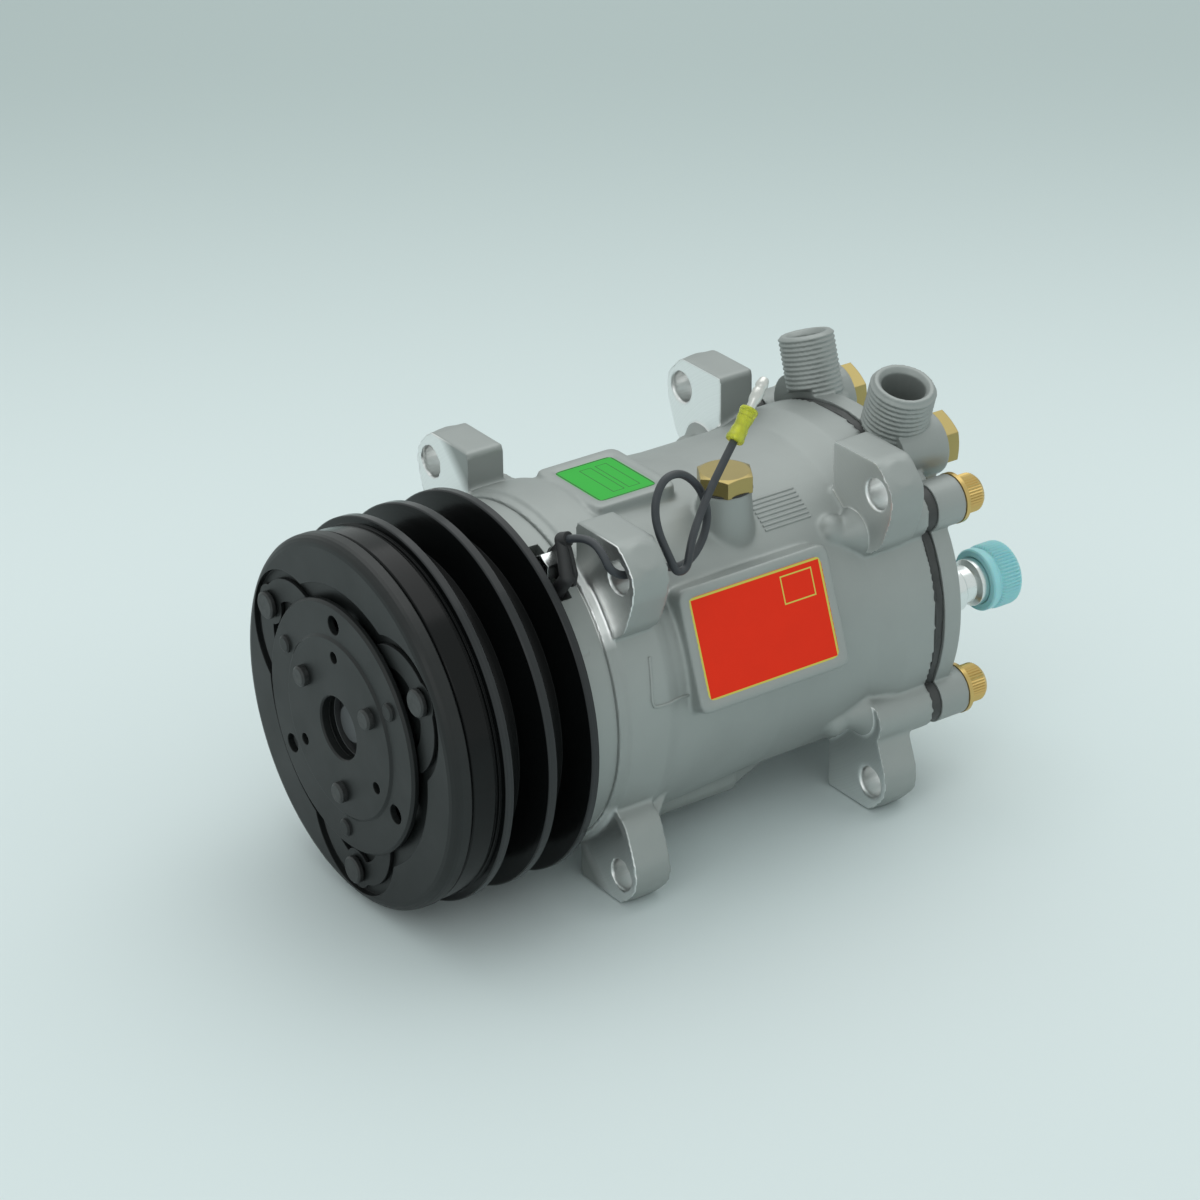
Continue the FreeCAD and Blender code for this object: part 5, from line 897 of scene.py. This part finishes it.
@dataclass
class HosePorts:
    """Sizes of the threaded hose ports on the head."""

    top_x: float = 26.0
    top_y: float = 131.5
    top_z: float = 72.5
    lean: float = math.radians(17.0)
    thread: float = 21.6
    clear: float = 13.0

    def axis(self, side: int) -> Vector:
        """Direction of one port, outward."""
        return Vector((side * math.sin(self.lean), 0.0, math.cos(self.lean)))

    def holds(self, place: Vector) -> bool:
        """Says whether a point in millimetres lies on a port's thread or bore."""
        for side in (1, -1):
            top = Vector((side * self.top_x, self.top_y, self.top_z))
            down = (place - top).dot(self.axis(side))
            away = (place - top - self.axis(side) * down).length
            if down > -self.thread and away < self.clear:
                return True
        return False


PORTS = HosePorts()


def head_is_crisp(place: Vector) -> bool:
    """Says whether a point of the head lies on a thread, a bore or the joint face."""
    return PORTS.holds(place) or abs(place.y - HEAD_FRONT) < JOINT_REACH


@dataclass
class CoilLead:
    """The coil's lead with its sleeve and bullet terminal."""

    radius: float = 1.3
    length: float = 0.178
    route: tuple[Point, ...] = (
        (36.0, -7.0, 61.0), (40.6, -5.4, 62.8), (46.0, -4.6, 63.0), (50.4, -4.2, 60.6), (52.8, -3.6, 56.2),
        (52.9, 0.6, 53.0), (52.3, 6.5, 52.1), (51.6, 13.0, 51.6), (50.4, 19.0, 49.6), (48.6, 24.6, 47.2),
        (47.0, 30.0, 46.8), (46.0, 34.6, 49.6), (45.0, 38.0, 54.2), (44.2, 39.4, 60.0), (44.0, 37.8, 66.2),
        (44.0, 34.4, 71.8), (44.6, 28.6, 76.6), (46.0, 21.8, 77.2), (47.4, 17.6, 72.8), (48.6, 16.2, 67.2),
        (50.2, 16.6, 61.4), (52.4, 17.6, 56.6), (54.0, 18.6, 52.6), (54.4, 20.2, 48.8), (54.0, 24.2, 48.9),
        (53.4, 25.6, 53.2), (52.2, 27.6, 57.6), (50.2, 31.2, 61.8), (47.6, 36.6, 67.4), (45.2, 43.4, 74.0),
        (43.0, 50.2, 80.5),
    )
    sleeve_length: float = 11.5
    terminal_length: float = 11.0

    def end(self) -> tuple[Vector, Vector]:
        """Gives the lead's end in millimetres and the direction that it points."""
        tip = Vector(self.route[-1])
        return tip, (tip - Vector(self.route[-2])).normalized()

    def wire(self, bench: Bench) -> bpy.types.Object:
        """Builds the wire along its route."""
        piece = bench.line("coil_lead_wire", self.route, self.radius, "NURBS", 5)
        piece.data.resolution_u = 8
        spline = piece.data.splines[0]
        spline.order_u = 3
        spline.use_endpoint_u = True
        return bench.hand_over(piece, Body.HOUSING, JACKET, ["coil_lead"])

    def sleeve(self, bench: Bench) -> bpy.types.Object:
        """Builds the soft sleeve, nipped where the crimp grips it."""
        tip, along = self.end()
        long = self.sleeve_length
        profile = [(1.35, 0.0), (2.7, 0.0), (3.0, 0.5), (3.0, 1.4), (2.75, 2.0), (2.7, 4.2), (2.45, 5.0),
                   (2.45, 6.6), (2.7, 7.4), (2.75, long - 2.0), (3.0, long - 1.4), (3.0, long - 0.5),
                   (2.7, long), (2.1, long), (2.1, long - 0.8), (1.35, long - 1.6), (1.35, 0.0)]
        piece = bench.turned("lead_sleeve_soft", profile, tuple(tip), tuple(along), 48)
        bench.smooth(piece, 40.0)
        return bench.hand_over(piece, Body.HOUSING, SLEEVE, ["lead_sleeve"])

    def crimp(self, bench: Bench) -> bpy.types.Object:
        """Builds the metal crimp inside the sleeve."""
        tip, along = self.end()
        profile = [(0.0, 0.6), (1.7, 0.6), (1.95, 1.2), (1.95, 3.0), (1.5, 3.6), (1.5, 5.2), (1.95, 5.8),
                   (1.95, 8.4), (1.3, 9.0), (0.0, 9.0)]
        piece = bench.turned("lead_crimp_barrel", profile, tuple(tip), tuple(along), 32)
        bench.smooth(piece, 40.0)
        return bench.hand_over(piece, Body.HOUSING, TIN)

    def terminal(self, bench: Bench) -> bpy.types.Object:
        """Builds the bullet terminal with its rolled seam and hollow nose."""
        tip, along = self.end()
        start = tip + along * self.sleeve_length
        long = self.terminal_length
        profile = [(0.0, -2.6), (1.5, -2.6), (1.5, 2.2), (1.75, 2.6), (1.95, 3.4), (2.0, 4.2), (2.0, 6.4),
                   (1.72, 6.9), (1.72, 7.5), (1.98, 8.0), (1.95, 8.9), (1.5, long - 0.5), (1.1, long),
                   (0.85, long - 0.1), (0.8, long - 3.0), (0.0, long - 3.2)]
        piece = bench.turned("bullet_terminal", profile, tuple(start), tuple(along), 40)
        bench.smooth(piece, 35.0)
        return bench.hand_over(piece, Body.HOUSING, TIN, ["lead_terminal"])

    def build(self, bench: Bench) -> None:
        wire = self.wire(bench)
        goes_with = [self.sleeve(bench), self.crimp(bench), self.terminal(bench)]


@dataclass
class HeadScrews:
    """Knurled socket cap screws on the rear head."""

    seat: float = 138.5
    head_r: float = 6.5
    head: float = 8.0
    shank_r: float = 3.9
    shank: float = 20.0
    knurls: int = 40
    knurl_share: float = 0.945
    edge_inset: float = 0.9
    edge_drop: float = 1.1
    rim_inset: float = 1.0
    rim_rise: float = 0.25
    socket_r: float = 3.46
    socket_depth: float = 4.0
    socket_over: float = 2.0
    overlap: float = 0.4

    def model(self, bench: Bench) -> bpy.types.Object:
        """Models one screw at the shaft's axis."""
        body = bench.rod("screw", self.head_r, (0.0, self.seat, 0.0), ALONG_SHAFT, self.head,
                         self.knurls * 2)
        bench.pick(body)
        bpy.ops.object.mode_set(mode="EDIT")
        cage = bmesh.from_edit_mesh(body.data)
        ends = [face for face in cage.faces if abs(face.normal.y) > 0.9]
        bpy.ops.mesh.select_all(action="DESELECT")
        max(ends, key=lambda face: face.calc_center_median().y).select = True
        bmesh.update_edit_mesh(body.data)
        bpy.ops.mesh.inset(thickness=self.edge_inset * MM)
        bpy.ops.transform.translate(value=(0.0, self.edge_inset * MM, 0.0))
        bpy.ops.mesh.inset(thickness=self.rim_inset * MM)
        bpy.ops.transform.translate(value=(0.0, self.rim_rise * MM, 0.0))
        cage = bmesh.from_edit_mesh(body.data)
        for vertex in cage.verts:
            flat = math.hypot(vertex.co.x, vertex.co.z)
            turn = round(math.atan2(vertex.co.z, vertex.co.x) / math.tau * self.knurls * 2)
            if flat > (self.head_r - 0.05) * MM and turn % 2 == 0:
                vertex.co.x *= self.knurl_share
                vertex.co.z *= self.knurl_share
            vertex.co.y = min(vertex.co.y, (self.seat + self.head) * MM)
        for vertex in cage.verts:
            flat = math.hypot(vertex.co.x, vertex.co.z)
            if flat > (self.head_r * 0.9) * MM and vertex.co.y > (self.seat + self.head / 2) * MM:
                vertex.co.y -= self.edge_drop * MM
        bmesh.update_edit_mesh(body.data)
        bpy.ops.object.mode_set(mode="OBJECT")
        floor = self.seat + self.head - self.socket_depth
        socket = bench.rod("socket", self.socket_r, (0.0, floor, 0.0), ALONG_SHAFT,
                           self.socket_depth + self.socket_over, 6)
        bench.modify(body, "BOOLEAN", operation="DIFFERENCE", object=socket, solver="EXACT")
        bpy.data.objects.remove(socket)
        shank = bench.rod("shank", self.shank_r, (0.0, self.seat - self.shank, 0.0), ALONG_SHAFT,
                          self.shank + self.overlap, 24)
        return bench.join([body, shank], "screw")

    def build(self, bench: Bench) -> bpy.types.Object:
        """Copies the model to every place and joins the copies."""
        model = self.model(bench)
        copies = []
        for x, z in head_bolt_places():
            copy = model.copy()
            copy.data = model.data.copy()
            copy.data.transform(Matrix.Translation(Vector((x, 0.0, z)) * MM))
            bpy.context.scene.collection.objects.link(copy)
            copies.append(copy)
        bpy.data.objects.remove(model)
        screws = bench.join(copies, "knurled_head_screws")
        bench.smooth(screws, 30.0)
        return bench.hand_over(screws, Body.HOUSING, YELLOW_ZINC, ["head_bolts"])


@dataclass
class RibbedCap:
    """Pale blue cap on the service valve, with a smooth collar and a ribbed grip."""

    x: float = 35.0
    z: float = -2.0
    start: float = 156.0
    length: float = 13.0
    radius: float = 10.6
    ribs: int = 54
    rib: float = 0.4
    inner_r: float = 8.06
    depth: float = 5.3
    grip_start: float = 4.3
    grip_wall: float = 0.9

    def build(self, bench: Bench) -> bpy.types.Object:
        """Builds the cap: a turned shell whose grip is drawn into ribs."""
        long = self.length
        outer = self.radius
        inner = self.inner_r
        profile = [(0.0, self.depth), (inner, self.depth), (inner, 0.3), (inner + 0.3, 0.0),
                   (outer - 0.5, 0.0), (outer, 0.5), (outer, 2.6), (outer - 0.7, 3.4), (outer - 0.7, 4.0),
                   (outer, 4.6),
                   (outer, long - 2.4), (outer - 0.3, long - 1.3), (outer - 1.1, long - 0.4),
                   (outer - 2.2, long), (0.0, long)]
        cap = bench.turned("ribbed_service_cap", profile, (self.x, self.start, self.z), ALONG_SHAFT,
                           self.ribs * 4)
        for vertex in cap.data.vertices:
            side = Vector((vertex.co.x - self.x * MM, vertex.co.z - self.z * MM))
            down = vertex.co.y / MM - self.start
            if side.length > (outer - self.grip_wall) * MM and down > self.grip_start:
                turn = math.atan2(side.y, side.x) * self.ribs
                grow = 1.0 + self.rib / outer * math.cos(turn)
                vertex.co.x = self.x * MM + side.x * grow
                vertex.co.z = self.z * MM + side.y * grow
        bench.smooth(cap, 40.0)
        return bench.hand_over(cap, Body.CAP, CAP_BLUE, ["service_cap"])


@dataclass
class CastRelief:
    """Raised lines that the mould leaves on the barrel: a bank of ribs and the edge of a panel."""

    ribs: int = 8
    first_angle: float = 62.0
    last_angle: float = 50.0
    rib_start: float = 69.0
    rib_end: float = 87.0
    rib_radius: float = 0.5
    rib_sink: float = 0.1
    step_radius: float = 0.55
    step: tuple[Point, ...] = (
        (58.0, 23.0, 10.4), (58.0, 16.0, 9.4), (58.0, 9.4, 8.6), (58.0, 7.4, 9.2), (58.0, 6.9, 11.0),
        (57.9, 6.7, 14.5), (56.45, 6.6, 19.5), (56.3, 6.5, 25.0),
    )

    def on_barrel(self, radius: float, degrees: float, along: float) -> Point:
        """Place on the barrel in millimetres, from its radius, its angle and its Y."""
        turn = math.radians(degrees)
        return radius * math.cos(turn), along, radius * math.sin(turn)

    def trace(self, bench: Bench, places: Sequence[Point], radius: float) -> bpy.types.Object:
        """Draws a round line through places and makes it a mesh.

        Args:
            bench: the modelling steps.
            places: the places in millimetres.
            radius: half the line's width in millimetres.

        Returns:
            The line's mesh.
        """
        bench.pick(bench.line("relief_line", places, radius))
        bpy.ops.object.convert(target="MESH")
        return bpy.context.active_object

    def build(self, bench: Bench) -> bpy.types.Object:
        """Draws every line half sunk in the barrel."""
        lines = []
        for index in range(self.ribs):
            angle = self.first_angle + (self.last_angle - self.first_angle) * index / (self.ribs - 1)
            ends = [self.on_barrel(BARREL_R - self.rib_sink, angle, along)
                    for along in (self.rib_start, self.rib_end)]
            lines.append(self.trace(bench, ends, self.rib_radius))
        lines.append(self.trace(bench, [self.on_barrel(*spot) for spot in self.step], self.step_radius))
        relief = bench.join(lines, "cast_relief")
        bench.smooth(relief, 60.0)
        return bench.hand_over(relief, Body.HOUSING, CAST)


@dataclass
class JointSealant:
    """Dark sealant squeezed out between the block and the head, round the barrel and the bolt bosses."""

    inner_r: float = 52.0
    outer_r: float = 56.4
    boss_r: float = 7.7
    gap: float = 0.1
    skin: float = 0.7
    swell: float = 0.0035
    waves: tuple[tuple[int, int, float], ...] = ((7, 1, 1.0), (19, 2, 0.7), (43, 0, 0.5))

    def build(self, bench: Bench) -> bpy.types.Object:
        """Builds the bead and gives it its uneven edge."""
        start = BLOCK_REAR + self.gap
        end = HEAD_FRONT - self.gap
        out = self.outer_r
        profile = [(self.inner_r, start), (out - 0.4, start), (out, start + 0.5), (out - 0.2, start + 1.4),
                   (out + 0.1, start + 2.4), (out - 0.1, end - 0.5), (out - 0.5, end), (self.inner_r, end),
                   (self.inner_r, start)]
        bead = bench.turned("joint_sealant", profile, ORIGIN, ALONG_SHAFT, 240)
        for vertex in bead.data.vertices:
            turn = math.atan2(vertex.co.z, vertex.co.x)
            if math.hypot(vertex.co.x, vertex.co.z) > (out - self.skin) * MM:
                along = vertex.co.y / MM
                wave = sum(size * math.sin(turns * turn + rows * along) for turns, rows, size in self.waves)
                vertex.co.x *= 1.0 + self.swell * wave
                vertex.co.z *= 1.0 + self.swell * wave
        pads = [bench.rod("pad", self.boss_r, (x, start, z), ALONG_SHAFT, end - start, 48)
                for x, z in head_bolt_places()]
        sealant = bench.join([bead, *pads], "joint_sealant")
        bench.smooth(sealant, 40.0)
        return bench.hand_over(sealant, Body.HOUSING, SEALANT)


@dataclass
class FillerSeal:
    """Thin black ring squeezed out under the filler plug's hexagon."""

    x: float = 28.0
    y: float = 58.0
    z: float = 57.0

    def build(self, bench: Bench) -> bpy.types.Object:
        """Turns the ring on the boss."""
        profile = [(5.6, -0.02), (8.6, -0.02), (8.85, 0.1), (8.95, 0.3), (8.85, 0.5), (8.6, 0.6), (5.6, 0.6),
                   (5.6, -0.02)]
        ring = bench.turned("filler_seal_ring", profile, (self.x, self.y, self.z), (0.0, 0.0, 1.0), 64)
        bench.smooth(ring, 50.0)
        return bench.hand_over(ring, Body.HOUSING, SEAL)


def block_swellings(bench: Bench) -> list[bpy.types.Object]:
    """Adds the rounded swellings in front of the rear ears, which the block's skin then runs over."""
    swellings = []
    for x, y, z in SWELLINGS:
        bpy.ops.object.select_all(action="DESELECT")
        bpy.ops.mesh.primitive_uv_sphere_add(radius=SWELLING_R * MM, segments=32, ring_count=16,
                                             location=(x * MM, y * MM, z * MM))
        ball = bpy.context.active_object
        bench.settle(ball)
        swellings.append(ball)
    return swellings


@dataclass
class Camera:
    """The photograph's view: place, direction and lens."""

    azimuth: float = math.radians(55.24)
    elevation: float = math.radians(26.93)
    roll: float = math.radians(-0.74)
    place: Point = (915.2, -605.8, 580.5)
    lens: float = 117.32

    def build(self) -> None:
        """Makes the camera and hands it to the scene."""
        a, e, r = self.azimuth, self.elevation, self.roll
        back = Vector((math.sin(a) * math.cos(e), -math.cos(a) * math.cos(e), math.sin(e)))
        right = Vector((0.0, 0.0, 1.0)).cross(back).normalized()
        up = back.cross(right)
        turned_right = right * math.cos(r) + up * math.sin(r)
        turned_up = up * math.cos(r) - right * math.sin(r)
        data = bpy.data.cameras.new("photo_camera")
        data.sensor_width = 36.0
        data.lens = self.lens
        data.clip_start = 0.05
        data.clip_end = 50.0
        camera = bpy.data.objects.new("photo_camera", data)
        axes = Matrix((turned_right, turned_up, back)).transposed().to_4x4()
        camera.matrix_world = Matrix.Translation(Vector(self.place) * MM) @ axes
        bpy.context.scene.collection.objects.link(camera)
        bpy.context.scene.camera = camera


@dataclass
class Lamp:
    """One soft box: where it hangs, what it looks at, its size and its power."""

    name: str
    place: Point
    target: Point
    width: float
    height: float
    power: float
    colour: Colour = (1.0, 1.0, 1.0)

    def build(self) -> None:
        """Hangs the lamp."""
        data = bpy.data.lights.new(self.name, "AREA")
        data.shape = "RECTANGLE"
        data.size = self.width
        data.size_y = self.height
        data.energy = self.power
        data.color = self.colour
        lamp = bpy.data.objects.new(self.name, data)
        lamp.location = self.place
        lamp.rotation_euler = (Vector(self.target) - Vector(self.place)).to_track_quat("-Z", "Y").to_euler()
        bpy.context.scene.collection.objects.link(lamp)


@dataclass
class Studio:
    """Pale floor, soft world light and the lamps."""

    # Painted shade: the floor's colour goes darker from near to far, standing in for light falling off behind the
    # object.
    near: Colour = (0.72, 0.80, 0.805)
    far: Colour = (0.45, 0.525, 0.52)
    world: Colour = (0.85, 0.91, 0.90)
    world_strength: float = 0.84
    lamps: tuple[Lamp, ...] = (
        Lamp("key_box", (-0.35, 0.45, 1.25), (0.0, 0.03, 0.0), 1.4, 1.4, 5.6),
        Lamp("front_fill", (0.9, -1.4, 0.9), (0.0, 0.0, 0.0), 0.9, 0.9, 2.2),
    )

    def floor(self) -> None:
        """Lays the floor, with painted shade that makes it paler near the camera than far behind the object."""
        bpy.ops.object.select_all(action="DESELECT")
        bpy.ops.mesh.primitive_plane_add(size=12.0, location=(0.0, 0.0, FLOOR_Z * MM))
        floor = bpy.context.active_object
        floor.name = "studio_floor"
        material = bpy.data.materials.new("studio_floor")
        material.use_nodes = True
        material.node_tree.nodes.clear()
        wires = Wiring(material.node_tree)
        place = wires.node("ShaderNodeTexCoord").outputs["Object"]
        away = wires.vector("DOT_PRODUCT", place, (-0.82, 0.57, 0.0)).outputs["Value"]
        share = wires.node("ShaderNodeMapRange", interpolation_type="SMOOTHSTEP")
        wires.join(away, share.inputs["Value"])
        share.inputs["From Min"].default_value = 0.15
        share.inputs["From Max"].default_value = 0.8
        shader = wires.node("ShaderNodeBsdfPrincipled")
        # Painted shade mixed into the floor's colour, darker away from the camera.
        wires.join(wires.mix(share.outputs[0], self.near, self.far), shader.inputs["Base Color"])
        shader.inputs["Roughness"].default_value = 0.6
        shader.inputs["Specular IOR Level"].default_value = 0.2
        out = wires.node("ShaderNodeOutputMaterial")
        wires.join(shader.outputs[0], out.inputs["Surface"])
        floor.data.materials.append(material)

    def sky(self) -> None:
        """Sets the world's even light."""
        world = bpy.data.worlds.new("studio_world")
        world.use_nodes = True
        world.node_tree.nodes.clear()
        wires = Wiring(world.node_tree)
        light = wires.node("ShaderNodeBackground")
        light.inputs["Color"].default_value = (*self.world, 1.0)
        light.inputs["Strength"].default_value = self.world_strength
        out = wires.node("ShaderNodeOutputWorld")
        wires.join(light.outputs[0], out.inputs["Surface"])
        bpy.context.scene.world = world

    def build(self) -> None:
        """Sets the whole studio."""
        self.floor()
        self.sky()
        for lamp in self.lamps:
            lamp.build()
        bpy.context.scene.view_settings.view_transform = "Standard"


def dress_nodes(bench: Bench) -> None:
    """Gives every CAD node its finish."""
    for name, finish in NODE_FINISHES.items():
        bench.paint(frame["nodes"][name], finish)


def main() -> None:
    """Builds the camera, the lead, the finishes, the pieces and the studio, in that order."""
    logging.basicConfig(level=logging.INFO, format="%(name)s: %(message)s")
    bpy.ops.object.select_all(action="DESELECT")
    bench = Bench()
    Camera().build()
    CoilLead().build(bench)
    dress_nodes(bench)
    block = SoftCasting("cylinder_block", "block_casting", 0.75, 5, 0.6,
                        [Plug(51.0, BLOCK_FRONT + 0.4, BLOCK_REAR - 0.4)], block_is_crisp, block_swellings)
    block.build(bench)
    head = SoftCasting("cylinder_head", "head_casting", 0.42, 6, 0.3,
                       [Plug(51.0, HEAD_FRONT + 0.3, HEAD_FRONT + 6.5)], head_is_crisp)
    head.build(bench)
    HeadScrews().build(bench)
    RibbedCap().build(bench)
    CastRelief().build(bench)
    JointSealant().build(bench)
    FillerSeal().build(bench)
    Studio().build()


if __name__ == "__main__":
    main()
